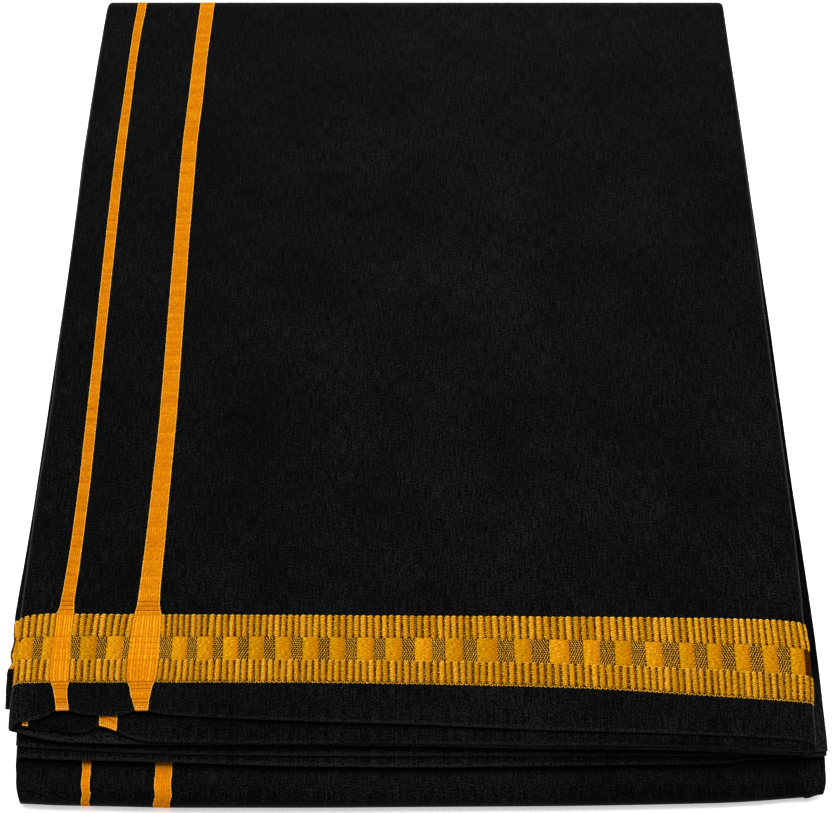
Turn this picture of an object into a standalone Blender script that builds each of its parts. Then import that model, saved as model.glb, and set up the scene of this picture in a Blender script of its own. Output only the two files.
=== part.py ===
"""A dhoti cloth, folded four ways across and three times in half along its length.

Eight panels of folded cloth lie on each other, ordered by the book folds.  The cloth's first end is the
top panel: it turns down round the far end and comes back along the floor as the lowest panel, whose near
bend wraps the lower half of the stack.  Between them lie the cloth's second end and the middle fold.
Metres, +Z up, +Y from the near edge to the far edge; the origin is the middle of the underside.
"""

import math
from collections import namedtuple
from functools import partial

import bmesh
import bpy
from mathutils import Vector

MM = 0.001

# Driving sizes of the cloth and of the folded stack.
CLOTH_WIDTH = 1270.0 * MM
FOLDS_ACROSS = 4
STACK_LENGTH = 455.0 * MM
STACK_HEIGHT = 20.0 * MM
HALF_WIDTH = CLOTH_WIDTH / FOLDS_ACROSS / 2
HALF_HEIGHT = STACK_HEIGHT / 2
QUARTER_HEIGHT = STACK_HEIGHT / 4
FAR_Y = STACK_LENGTH / 2
NEAR_Y = -STACK_LENGTH / 2
FAR_BEND_Y = FAR_Y - HALF_HEIGHT

# Walls and the clearance between them.
WALL = 1.2 * MM
GAP = 0.3 * MM
EDGE_RADIUS = WALL / 2

# The top panel's side fold: its depth below the top face, and how far its margin is turned under.
FOLD_DEPTH = 4.4 * MM
MARGIN_END_X = -85.0 * MM
HOOK_TURN = math.radians(35)

# The near right corner lies lower than the rest of the stack.
CORNER_DROP = 0.22
CORNER_X = (70.0 * MM, 158.0 * MM)
CORNER_Y = (-145.0 * MM, -212.0 * MM)

# The top panel's near left corner is drawn in.
CORNER_PULL = 3.0 * MM
PULL_Y = (-150.0 * MM, -205.0 * MM)

# Where each layer's near edge lies, across the width.
NearEdge = namedtuple("NearEdge", "x top_ply margin inner_plies middle_upper middle_lower bottom")
NEAR_EDGES = [NearEdge(*(value * MM for value in row)) for row in (
    (-158, -201.8, -202.6, -198.4, -205.6, -207.0, -225.8),
    (-147, -199.4, -203.8, -199.4, -206.6, -208.7, -226.3),
    (-136, -195.9, -206.2, -202.7, -207.2, -210.7, -226.7),
    (-118, -196.2, -207.2, -203.4, -208.6, -211.3, -227.0),
    (-88, -196.9, -207.6, -207.1, -209.8, -212.5, -227.3),
    (-45, -199.2, -207.6, -207.8, -210.4, -213.9, -227.5),
    (0, -200.3, -207.6, -208.4, -210.9, -214.5, -227.5),
    (55, -202.7, -207.6, -209.8, -211.4, -213.9, -227.1),
    (115, -204.9, -207.6, -210.6, -210.9, -212.2, -226.0),
    (158, -206.9, -207.6, -211.0, -209.0, -209.4, -222.4),
)]

# How far each layer reaches to the left and right of the middle, at its near and far ends.
Spread = namedtuple("Spread", "left_near left_far right_near right_far")
SPREADS = {name: Spread(*(value * MM for value in row)) for name, row in {
    "top_panel": (159.2, 159.4, 154.6, 159.0),
    "inner_plies": (157.0, 157.3, 152.6, 156.8),
    "second_end": (160.6, 158.0, 158.6, 159.4),
    "middle_upper": (155.4, 157.6, 159.6, 158.6),
    "middle_lower": (154.6, 158.4, 158.4, 160.0),
    "core": (155.2, 157.2, 158.2, 159.6),
    "bottom_panel": (154.4, 158.6, 149.0, 160.6),
}.items()}

# Shared stations, so that neighbouring layers are divided alike.
X_STATIONS = [value * MM for value in (-147, -136, -118, -88, -45, 0, 45, 85, 115, 140)]
Y_STATIONS = [value * MM for value in (-188, -175, -160, -140, -90, 0, 100, 180)]
CLEAR_OF_STATION = 8.0 * MM
FOLD_STEPS = 6
BEND_STEPS = 8
NOSE_STEPS = 3

# The cloth's second end is cut square, some way behind the edges over and under it.
SECOND_END_Y = -191.4 * MM

# The layers at half height reach furthest into the far bend.
MIDDLE_END_Y = FAR_BEND_Y + 3.0 * MM

COTTON_COLOUR = (0.011, 0.011, 0.012, 1.0)
COTTON_ROUGHNESS = 0.92


def clear_scene():
    """Remove every object of the open scene."""
    for item in list(bpy.data.objects):
        bpy.data.objects.remove(item, do_unlink=True)


def smooth(value, start, end):
    """A soft step from 0 at start to 1 at end."""
    share = min(max((value - start) / (end - start), 0.0), 1.0)
    return share * share * (3 - 2 * share)


def near_edge(x, layer, edge):
    """The y of a near edge where the layer's column x lies, read between the rows of NEAR_EDGES."""
    spread = SPREADS[layer]
    x *= (spread.left_near if x < 0 else spread.right_near) / HALF_WIDTH
    rows = NEAR_EDGES
    if x <= rows[0].x:
        return getattr(rows[0], edge)
    for left, right in zip(rows, rows[1:]):
        if x <= right.x:
            share = (x - left.x) / (right.x - left.x)
            return getattr(left, edge) * (1 - share) + getattr(right, edge) * share
    return getattr(rows[-1], edge)


def place(point, layer):
    """Spread a point of the even stack to its layer's own reach, and let the near right corner down."""
    spread = SPREADS[layer]
    along = (point.y - NEAR_Y) / STACK_LENGTH
    if point.x < 0:
        reach = spread.left_near + (spread.left_far - spread.left_near) * along
        if layer in ("top_panel", "inner_plies"):
            reach -= CORNER_PULL * smooth(point.y, *PULL_Y)
    else:
        reach = spread.right_near + (spread.right_far - spread.right_near) * along
    x = point.x / HALF_WIDTH * reach
    drop = CORNER_DROP * smooth(x, *CORNER_X) * smooth(point.y, *CORNER_Y)
    return Vector((x, point.y, point.z * (1 - drop)))


def far_path(depth, turn, y):
    """(y, z) on the top panel's route, depth below its face: along the top at y, then round the far end."""
    if turn == 0:
        return y, STACK_HEIGHT - depth
    radius = HALF_HEIGHT - depth
    return FAR_BEND_Y + radius * math.sin(turn), HALF_HEIGHT + radius * math.cos(turn)


def far_rows():
    """(turn, y) of each row of a layer on the far path; the first, at the near edge, has no y of its own."""
    rows = [(0.0, None)] + [(0.0, y) for y in Y_STATIONS]
    return rows + [(math.pi * step / BEND_STEPS, FAR_BEND_Y) for step in range(BEND_STEPS + 1)]


def near_path(depth, turn, y, bend_y):
    """(y, z) on the bottom panel's route, depth inside its face: along the floor, round the bend, back."""
    radius = QUARTER_HEIGHT - depth
    if y is None:
        y = bend_y - radius * math.sin(turn)
    return y, QUARTER_HEIGHT - radius * math.cos(turn)


def side_round(outer, inner, i, j, rows, columns):
    """The direction in which the wall's edge faces at a border point of its grid."""
    middle = (outer[i][j] + inner[i][j]) / 2
    out = Vector()
    for at_border, row, column in (
            (i == 0, 1, j), (i == rows - 1, rows - 2, j), (j == 0, i, 1), (j == columns - 1, i, columns - 2)):
        if at_border:
            out += (middle - (outer[row][column] + inner[row][column]) / 2).normalized()
    return out.normalized()


def edge_profile(plies):
    """Fractions through the wall and outward shares: one rounded lip for each ply that shows."""
    profile = []
    for ply in range(plies):
        if ply:
            profile.append((ply / plies, 0.1))
        profile += [((ply + 0.25) / plies, 0.85), ((ply + 0.75) / plies, 0.85)]
    return profile


def cloth_wall(layer, outer, inner, plies=1):
    """A closed wall between two grids of points, with a rounded lip for each ply round its border."""
    rows, columns = len(outer), len(outer[0])
    mesh = bmesh.new()
    top = [[mesh.verts.new(place(point, layer)) for point in row] for row in outer]
    low = [[mesh.verts.new(place(point, layer)) for point in row] for row in inner]
    for i in range(rows - 1):
        for j in range(columns - 1):
            mesh.faces.new((top[i][j], top[i][j + 1], top[i + 1][j + 1], top[i + 1][j]))
            mesh.faces.new((low[i][j], low[i + 1][j], low[i + 1][j + 1], low[i][j + 1]))
    border = [(0, j) for j in range(columns)]
    border += [(i, columns - 1) for i in range(1, rows)]
    border += [(rows - 1, j) for j in range(columns - 2, -1, -1)]
    border += [(i, 0) for i in range(rows - 2, 0, -1)]
    strands = []
    for i, j in border:
        out = side_round(outer, inner, i, j, rows, columns)
        lip = (outer[i][j] - inner[i][j]).length / 2 / plies
        strand = [top[i][j]]
        for share, reach in edge_profile(plies):
            point = outer[i][j].lerp(inner[i][j], share) + out * lip * reach
            strand.append(mesh.verts.new(place(point, layer)))
        strand.append(low[i][j])
        strands.append(strand)
    for one, two in zip(strands, strands[1:] + strands[:1]):
        for step in range(len(one) - 1):
            mesh.faces.new((one[step], one[step + 1], two[step + 1], two[step]))
    bmesh.ops.recalc_face_normals(mesh, faces=mesh.faces)
    data = bpy.data.meshes.new(layer)
    mesh.to_mesh(data)
    mesh.free()
    data.shade_smooth()
    data.set_sharp_from_angle(angle=math.radians(50))
    piece = bpy.data.objects.new(layer, data)
    bpy.context.scene.collection.objects.link(piece)
    data.materials.append(black_cotton(layer))
    return piece


def black_cotton(layer):
    """Plain black cotton."""
    material = bpy.data.materials.new(layer + "_cotton")
    material.use_nodes = True
    shader = material.node_tree.nodes["Principled BSDF"]
    shader.inputs["Base Color"].default_value = COTTON_COLOUR
    shader.inputs["Roughness"].default_value = COTTON_ROUGHNESS
    shader.inputs["Metallic"].default_value = 0.0
    return material


def flat_columns(left_lip, right_lip=None):
    """The x of each column across a flat layer, whose borders are set in by the lips at its side edges."""
    return [left_lip - HALF_WIDTH] + X_STATIONS + [HALF_WIDTH - (right_lip or left_lip)]


def side_fold_columns():
    """The top panel's section as (x, depth, normal x, normal depth), from its margin to its right edge.

    The margin lies under the panel on the left, the fold turns up round it, and the right edge hooks down.
    """
    radius = (FOLD_DEPTH - WALL) / 2
    low = FOLD_DEPTH - WALL / 2
    middle = FOLD_DEPTH / 2
    left_x = -HALF_WIDTH + FOLD_DEPTH / 2
    right_x = HALF_WIDTH - FOLD_DEPTH / 2
    columns = [(MARGIN_END_X - EDGE_RADIUS, low, 0.0, 1.0)]
    columns += [(x, low, 0.0, 1.0) for x in reversed(X_STATIONS) if x < MARGIN_END_X - 10 * MM]
    for step in range(FOLD_STEPS + 1):
        angle = -math.pi / 2 + math.pi * step / FOLD_STEPS
        out_x, out_depth = -math.cos(angle), -math.sin(angle)
        columns.append((left_x + radius * out_x, middle + radius * out_depth, out_x, out_depth))
    columns += [(x, WALL / 2, 0.0, -1.0) for x in X_STATIONS]
    for step in range(FOLD_STEPS // 2 + 1):
        angle = math.pi / 2 - (math.pi / 2 + HOOK_TURN) * step / (FOLD_STEPS // 2)
        out_x, out_depth = math.cos(angle), -math.sin(angle)
        columns.append((right_x + radius * out_x, middle + radius * out_depth, out_x, out_depth))
    return columns


def build_top_panel():
    """The cloth's first end: the top ply with its side folds, turned down round the far end to the floor."""
    outer, inner = [], []
    for turn, station in far_rows():
        outer_row, inner_row = [], []
        for x, depth, out_x, out_depth in side_fold_columns():
            edge = "margin" if depth > FOLD_DEPTH / 2 and x < 0 else "top_ply"
            y = near_edge(x, "top_panel", edge) + EDGE_RADIUS if station is None else station
            for grid_row, side in ((outer_row, 1), (inner_row, -1)):
                at_depth = depth + side * out_depth * WALL / 2
                grid_row.append(Vector((x + side * out_x * WALL / 2, *far_path(at_depth, turn, y))))
        outer.append(outer_row)
        inner.append(inner_row)
    return cloth_wall("top_panel", outer, inner)


def build_inner_plies():
    """The plies inside the top panel's side fold, which show at the near end and go round the far end."""
    upper = WALL + GAP
    over_margin = FOLD_DEPTH - WALL - GAP
    columns = flat_columns((over_margin - upper) / 2, (FOLD_DEPTH - upper) / 2)
    columns += [MARGIN_END_X + GAP, MARGIN_END_X + 3 * GAP]
    outer, inner = [], []
    for turn, station in far_rows():
        outer_row, inner_row = [], []
        for x in sorted(columns):
            lower = over_margin if x < MARGIN_END_X + 2 * GAP else FOLD_DEPTH
            edge_y = near_edge(x, "inner_plies", "inner_plies") + (lower - upper) / 2
            y = edge_y if station is None else station
            outer_row.append(Vector((x, *far_path(upper, turn, y))))
            inner_row.append(Vector((x, *far_path(lower, turn, y))))
        outer.append(outer_row)
        inner.append(inner_row)
    return cloth_wall("inner_plies", outer, inner, round((FOLD_DEPTH - upper) / WALL))


def build_flat_layer(layer, bottom, top, near, far_y):
    """A layer that lies flat from its near edge to far_y, between the heights bottom and top."""
    plies = round((top - bottom) / WALL)
    lip = (top - bottom) / 2 / plies
    xs = flat_columns(lip)
    outer = [[Vector((x, near(x) + lip, top)) for x in xs]]
    for y in [y for y in Y_STATIONS if y > near(0.0) + CLEAR_OF_STATION] + [far_y - lip]:
        outer.append([Vector((x, y, top)) for x in xs])
    inner = [[Vector((point.x, point.y, bottom)) for point in row] for row in outer]
    return cloth_wall(layer, outer, inner, plies)


def build_core():
    """The hidden panels as one solid: its near nose fills the bottom panel's bend, its sides are layered."""
    radius = QUARTER_HEIGHT - WALL - GAP
    plies = round(2 * radius / WALL)
    lip = radius / plies
    nose = [math.pi / 2 * (step + 1) / NOSE_STEPS for step in range(NOSE_STEPS)]
    rows = [(math.cos(turn) * radius, math.sin(turn) * radius, None) for turn in nose]
    rows += [(0.0, radius, y) for y in Y_STATIONS + [FAR_BEND_Y - FOLD_DEPTH / 2 - lip]]
    outer, inner = [], []
    for forward, rise, station in rows:
        outer_row, inner_row = [], []
        for x in flat_columns(lip):
            bend_y = near_edge(x, "core", "bottom") + QUARTER_HEIGHT + GAP
            y = bend_y - forward if station is None else station
            outer_row.append(Vector((x, y, QUARTER_HEIGHT + rise)))
            inner_row.append(Vector((x, y, QUARTER_HEIGHT - rise)))
        outer.append(outer_row)
        inner.append(inner_row)
    return cloth_wall("core", outer, inner, plies)


def build_bottom_panel():
    """The lowest panel: along the floor from the far end, round the near bend, and back over the core."""
    floor_end = FAR_BEND_Y - GAP - 2 * EDGE_RADIUS
    rows = [(0.0, floor_end)] + [(0.0, y) for y in reversed(Y_STATIONS)]
    rows += [(math.pi * step / BEND_STEPS, None) for step in range(BEND_STEPS + 1)]
    rows += [(math.pi, y) for y in Y_STATIONS] + [(math.pi, MIDDLE_END_Y)]
    outer, inner = [], []
    for turn, y in rows:
        outer_row, inner_row = [], []
        for x in flat_columns(EDGE_RADIUS):
            bend_y = near_edge(x, "bottom_panel", "bottom") + QUARTER_HEIGHT
            outer_row.append(Vector((x, *near_path(0.0, turn, y, bend_y))))
            inner_row.append(Vector((x, *near_path(WALL, turn, y, bend_y))))
        outer.append(outer_row)
        inner.append(inner_row)
    return cloth_wall("bottom_panel", outer, inner)


def main():
    """Build the stack from the floor up."""
    clear_scene()
    build_bottom_panel()
    build_core()
    height = HALF_HEIGHT + GAP
    for layer in ("middle_lower", "middle_upper"):
        near = partial(near_edge, layer=layer, edge=layer)
        build_flat_layer(layer, height, height + WALL, near, MIDDLE_END_Y)
        height += WALL + GAP
    ceiling = STACK_HEIGHT - FOLD_DEPTH - GAP
    build_flat_layer("second_end", height, ceiling, lambda x: SECOND_END_Y, FAR_BEND_Y)
    build_inner_plies()
    build_top_panel()


main()
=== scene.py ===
"""A dhoti cloth lying folded: black cotton plies, two orange stripes and a woven gold border.

The stack is built as the cloth is folded: four ways across its width, then three times in half along its
length.  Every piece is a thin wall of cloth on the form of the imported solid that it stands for.
All lengths are in metres, with +Z up, +Y from the near edge to the far edge.
"""
import logging
import math
from dataclasses import dataclass, field
from enum import Enum
from typing import Callable, Sequence

import bmesh
import bpy
import numpy as np
from bpy.types import Material, Node, NodeSocket, Object
from mathutils import Matrix, Vector


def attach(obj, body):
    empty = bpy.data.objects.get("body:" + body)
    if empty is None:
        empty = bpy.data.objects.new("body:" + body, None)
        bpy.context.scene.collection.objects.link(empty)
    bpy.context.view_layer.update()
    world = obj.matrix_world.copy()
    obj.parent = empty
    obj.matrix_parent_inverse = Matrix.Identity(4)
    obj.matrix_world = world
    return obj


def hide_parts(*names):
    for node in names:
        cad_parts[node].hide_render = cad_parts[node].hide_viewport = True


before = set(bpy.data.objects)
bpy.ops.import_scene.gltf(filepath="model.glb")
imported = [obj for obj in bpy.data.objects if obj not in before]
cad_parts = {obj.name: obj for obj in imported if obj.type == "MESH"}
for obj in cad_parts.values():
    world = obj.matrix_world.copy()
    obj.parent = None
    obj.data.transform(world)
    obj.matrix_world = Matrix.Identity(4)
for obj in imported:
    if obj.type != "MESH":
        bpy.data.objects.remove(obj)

LOG = logging.getLogger("dhoti_cloth")
MM = 0.001
BODY = "root"
Array = np.ndarray
Pair = tuple[float, float]
Colour = tuple[float, float, float]
# Pads on the loom, as rows of (u, v, width, length, turn, tone, rise).
Chart = list[tuple[float, float, float, float, float, float, float]]


class Layer(Enum):
    """The layers of the stack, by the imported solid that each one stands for."""

    TOP = "top_panel"
    INNER = "inner_plies"
    SECOND = "second_end"
    UPPER = "middle_upper"
    LOWER = "middle_lower"
    CORE = "core"
    BOTTOM = "bottom_panel"


class Dye(Enum):
    """What a part of the cloth is woven in; the value is the index of its material on a sheet."""

    BLACK = 0
    ORANGE = 1
    GROUND = 2


class Slot(Enum):
    """The material slots of the part."""

    BORDERED = "bordered_cotton"
    PLAIN = "black_cotton"


def millimetres(*rows: Sequence[float]) -> Array:
    """Rows of millimetres as an array of metres."""
    return np.array(rows, float) * MM


def table(*rows: Sequence[float]) -> Array:
    """A dataclass field that holds rows of millimetres, as metres."""
    return field(default_factory=lambda: millimetres(*rows))


def soft_step(value: Array, start: float, end: float) -> Array:
    """A soft step from 0 at start to 1 at end."""
    share = np.clip((np.asarray(value, float) - start) / (end - start), 0.0, 1.0)
    return share * share * (3 - 2 * share)


def bell(x: Array, middle: float, width: float) -> Array:
    """A soft bump of height 1 round the middle."""
    return np.exp(-((x - middle) / width) ** 2)


def unit(vector: Array) -> Array:
    """The vector at length one."""
    return vector / max(np.linalg.norm(vector), 1e-9)


def stations(marks: Sequence[float], counts: Sequence[int]) -> list[float]:
    """Places from mark to mark, with its own number of even steps in each stretch."""
    stretches = (np.linspace(*ends, count + 1)[1:] for *ends, count in zip(marks, marks[1:], counts))
    return [marks[0], *(place for stretch in stretches for place in stretch)]


def curve_through(at: Array, knots: Array) -> Array:
    """Read a smooth curve that passes through every knot without swinging past it.

    Args:
        at: where to read the curve.
        knots: rows of (position, height), sorted by position.

    Returns:
        The curve's height at each position; flat beyond the first and the last knot.
    """
    x, y = knots.T
    steps = np.diff(y) / np.diff(x)
    before, after = steps[:-1], steps[1:]
    same_way = before * after > 0
    slopes = np.zeros(len(x))
    slopes[1:-1][same_way] = (2 * before * after / np.where(same_way, before + after, 1))[same_way]
    slopes[0], slopes[-1] = steps[0], steps[-1]
    at = np.clip(at, x[0], x[-1])
    k = np.clip(np.searchsorted(x, at) - 1, 0, len(x) - 2)
    width = x[k + 1] - x[k]
    t = (at - x[k]) / width
    return ((2 * t ** 3 - 3 * t ** 2 + 1) * y[k] + (t ** 3 - 2 * t ** 2 + t) * width * slopes[k]
            + (3 * t ** 2 - 2 * t ** 3) * y[k + 1] + (t ** 3 - t ** 2) * width * slopes[k + 1])


@dataclass(frozen=True)
class Crease:
    """A soft trough or ridge pressed into the cloth, from start to end; a negative height is a trough."""

    start: Pair
    end: Pair
    width: float
    height: float

    def rise(self, x: Array, y: Array) -> Array:
        """How far the crease lifts the cloth.

        Args:
            x: positions across the stack.
            y: positions along the stack.

        Returns:
            The lift at each position.
        """
        (x0, y0), (x1, y1) = self.start, self.end
        dx, dy = x1 - x0, y1 - y0
        share = ((x - x0) * dx + (y - y0) * dy) / (dx * dx + dy * dy)
        near = np.clip(share, 0.0, 1.0)
        gap = np.hypot(x - (x0 + near * dx), y - (y0 + near * dy))
        swell = 0.45 + 0.55 * np.sin(math.pi * near) ** 0.8
        return self.height * swell * np.exp(-(gap / self.width) ** 2)


@dataclass(frozen=True)
class StackShape:
    """The sizes of the folded stack, and how an even stack is eased into the real one."""

    half_width: float = 158.75 * MM
    height: float = 20.0 * MM
    far_y: float = 228.25 * MM
    gap: float = 0.3 * MM
    solid_wall: float = 1.2 * MM
    fold_depth: float = 4.4 * MM
    corner_drop: float = 0.22
    corner_x: Pair = (70.0 * MM, 158.0 * MM)
    corner_y: Pair = (-145.0 * MM, -212.0 * MM)
    sag_depth: float = 1.7 * MM
    sag_y: Pair = (-222 * MM, -214 * MM)
    sag_end_y: Pair = (-200 * MM, -150 * MM)

    # Where each layer's near edge lies across the width, in millimetres: rows of (x, y).
    near_edges: dict[str, tuple[Pair, ...]] = field(default_factory=lambda: {
        "top_ply": (
            (-160, -203.8), (-157.4, -203.9), (-155.8, -202.6), (-154.2, -200.4), (-151.6, -199.5),
            (-148, -199.1), (-143.4, -197.9), (-141.2, -196.7), (-140.0, -195.5), (-133.6, -195.3),
            (-132.0, -195.9), (-128, -196.6), (-119, -197.0), (-111.8, -196.6), (-109.4, -195.5),
            (-102.6, -195.5), (-100.6, -196.2), (-88, -197.3), (-45, -199.4), (0, -201.0), (48, -203.3),
            (80, -204.3), (112, -204.5), (137, -204.9), (147, -205.6), (151, -206.5), (159, -207.6)),
        "margin": (
            (-159, -202.0), (-154.9, -202.2), (-147.6, -204.2), (-136, -206.4), (-118, -207.2),
            (-88, -207.6), (-45, -207.6), (0, -207.6), (159, -207.6)),
        "inner_plies": (
            (-159, -200.0), (-153, -200.7), (-149.5, -201.1), (-146, -201.5), (-137, -202.7),
            (-131, -203.4), (-126.4, -203.2), (-123.2, -200.9), (-121.4, -201.0), (-118, -202.0),
            (-115, -203.2), (-110, -205.4), (-103, -207.1), (-88, -207.7), (-45, -208.0), (0, -208.3),
            (55, -209.3), (115, -209.6), (140, -210.0), (159, -210.6)),
        "middle_upper": (
            (-159, -205.8), (-147, -207.0), (-136, -207.6), (-118, -208.8), (-88, -209.8), (-45, -210.4),
            (0, -210.8), (55, -210.7), (115, -209.6), (159, -207.2)),
        "middle_lower": (
            (-159, -210.0), (-147, -210.7), (-136, -211.4), (-118, -211.9), (-88, -212.8), (-45, -214.1),
            (0, -214.6), (55, -214.2), (100, -213.2), (118, -212.4), (128, -210.8), (159, -208.4)),
        "bottom": (
            (-159, -226.0), (-147, -226.6), (-136, -227.1), (-118, -227.5), (-88, -228.1), (-45, -228.1),
            (0, -227.8), (55, -227.4), (115, -226.0), (159, -222.5)),
        "second_end": ((-159, -190.9), (159, -190.8)),
    })

    # How far each layer reaches to the left and to the right, in millimetres: rows of (y, reach).
    sides: dict[Layer, tuple[tuple[Pair, ...], ...]] = field(default_factory=lambda: {
        Layer.TOP: (
            ((-212, 155.0), (-204.5, 155.7), (-203, 156.4), (-201.5, 156.9), (-199, 157.1), (-192, 157.5),
             (-187, 157.6), (-182, 157.3), (-176, 157.5), (-168, 157.8), (-160, 158.2), (-149, 158.5),
             (-124, 158.7), (-93, 158.9), (-41, 158.4), (-10, 159.2), (18, 159.5), (82, 160.0),
             (115, 160.4), (150, 160.4), (180, 160.2), (210, 159.9), (230, 159.1)),
            ((-212, 153.5), (-207, 153.9), (-202, 154.2), (-190, 154.8), (-178, 155.6), (-170, 155.8),
             (-160, 155.4), (-152, 155.1), (-140, 155.6), (-97, 156.6), (-40, 156.9), (8, 157.3),
             (82, 158.4), (230, 159.0))),
        Layer.INNER: (
            ((-208, 154.0), (-195, 154.7), (-178, 156.0), (-160, 156.9), (227, 157.3)),
            ((-210, 151.4), (-190, 152.8), (-150, 153.6), (227, 156.8))),
        Layer.SECOND: (
            ((-190, 160.1), (-187.6, 160.3), (-183, 160.85), (-179, 161.05), (-174.5, 161.4),
             (-170.5, 159.9), (-166, 161.1), (-161, 160.5), (-155, 161.0), (-148, 161.5), (-141, 161.4),
             (-121, 160.9), (-91, 160.5), (-41, 160.4), (18, 160.4), (82, 161.0), (115, 161.6),
             (150, 161.5), (180, 161.3), (210, 160.6), (227, 158.6)),
            ((-190, 153.4), (-120, 154.4), (227, 156.4))),
        Layer.UPPER: (
            ((-212, 153.9), (-150, 156.6), (227, 157.6)),
            ((-212, 158.4), (-204, 159.4), (-150, 159.7), (-90, 159.6), (20, 160.1), (227, 160.0))),
        Layer.LOWER: (
            ((-214, 153.5), (-150, 156.9), (227, 158.4)),
            ((-214, 157.6), (-205, 159.0), (-150, 159.6), (227, 160.1))),
        Layer.CORE: (
            ((-227, 151.4), (-222, 152.0), (-212, 153.0), (-170, 155.4), (227, 157.2)),
            ((-227, 155.0), (-222, 156.5), (-219, 157.3), (-212, 158.6), (-150, 159.5), (227, 160.2))),
        Layer.BOTTOM: (
            ((-227, 151.3), (-223, 152.4), (-216, 153.6), (-212, 154.3), (-160, 156.2), (227, 158.6)),
            ((-227, 148.8), (0, 154.8), (227, 160.4))),
    })

    # Soft creases of the top of the stack.
    creases: tuple[Crease, ...] = (
        Crease((-0.088, -0.139), (-0.050, -0.100), 0.006, 0.00022),
        Crease((-0.050, 0.012), (-0.034, -0.038), 0.005, 0.00024),
        Crease((-0.150, 0.074), (0.010, 0.058), 0.017, -0.00034),
        Crease((0.082, -0.102), (0.128, -0.080), 0.019, -0.00042),
        Crease((0.062, -0.052), (0.140, -0.030), 0.009, 0.00022),
        Crease((-0.030, -0.010), (0.070, 0.004), 0.024, 0.00034),
        Crease((0.095, 0.150), (0.150, 0.080), 0.012, -0.00028),
        Crease((-0.020, 0.160), (0.050, 0.190), 0.015, 0.00024),
        Crease((-0.155, -0.060), (-0.120, -0.140), 0.010, -0.00030),
        Crease((0.020, -0.120), (0.100, -0.138), 0.011, -0.00026),
        Crease((-0.010, -0.136), (0.020, -0.070), 0.008, 0.00018),
        Crease((0.146, -0.020), (0.150, 0.170), 0.007, -0.00022),
        Crease((-0.090, 0.140), (-0.060, 0.205), 0.010, -0.00022),
    )

    @property
    def far_bend_y(self) -> float:
        """Where the far bend starts."""
        return self.far_y - self.height / 2

    def return_sag(self, y: Array) -> Array:
        """How far the bottom panel's return ply sinks behind its bend, before it comes up under the lips."""
        return self.sag_depth * soft_step(y, *self.sag_y) * (1 - soft_step(y, *self.sag_end_y))

    def reach(self, layer: Layer, y: Array) -> tuple[Array, ...]:
        """How far a layer reaches to the left and to the right."""
        return tuple(curve_through(y, millimetres(*side)) for side in self.sides[layer])

    def near_edge(self, edge: str, x: Array, layer: Layer | None = None) -> Array:
        """The y of a near edge.

        Args:
            edge: the edge's name.
            x: positions across the even stack, or the real ones where no layer is given.
            layer: the layer whose spread carries the positions to their real place.

        Returns:
            The edge's y at each position.
        """
        knots = millimetres(*self.near_edges[edge])
        if layer is not None:
            left, right = self.reach(layer, knots[0, 1])
            x = x * np.where(x < 0, left, right) / self.half_width
        return curve_through(x, knots)

    def sink(self, points: Array) -> Array:
        """Let the near right corner down.

        Args:
            points: places in the even stack.

        Returns:
            The places, with the corner lowered.
        """
        drop = (self.corner_drop * soft_step(points[..., 0], *self.corner_x)
                * soft_step(points[..., 1], *self.corner_y))
        points = points.copy()
        points[..., 2] *= 1 - drop
        return points

    def place(self, points: Array, layer: Layer) -> Array:
        """Carry places of the even stack to where they are in the real one.

        Args:
            points: places in the even stack.
            layer: the layer that they belong to.

        Returns:
            The real places.
        """
        left, right = self.reach(layer, points[..., 1])
        points = points.copy()
        points[..., 0] *= np.where(points[..., 0] < 0, left, right) / self.half_width
        return self.sink(points)

    def far_path(self, depth: Array, turn: float, y: Array) -> tuple[Array, Array]:
        """The route of the top panel: along the top, then round the far end to the floor.

        Args:
            depth: how deep below the panel's face.
            turn: how far round the bend, in radians; 0 is on the flat.
            y: where along the flat.

        Returns:
            The y and z of each place.
        """
        if turn == 0:
            return y, self.height - depth
        radius = self.height / 2 - depth
        return self.far_bend_y + radius * math.sin(turn), self.height / 2 + radius * math.cos(turn)


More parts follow.
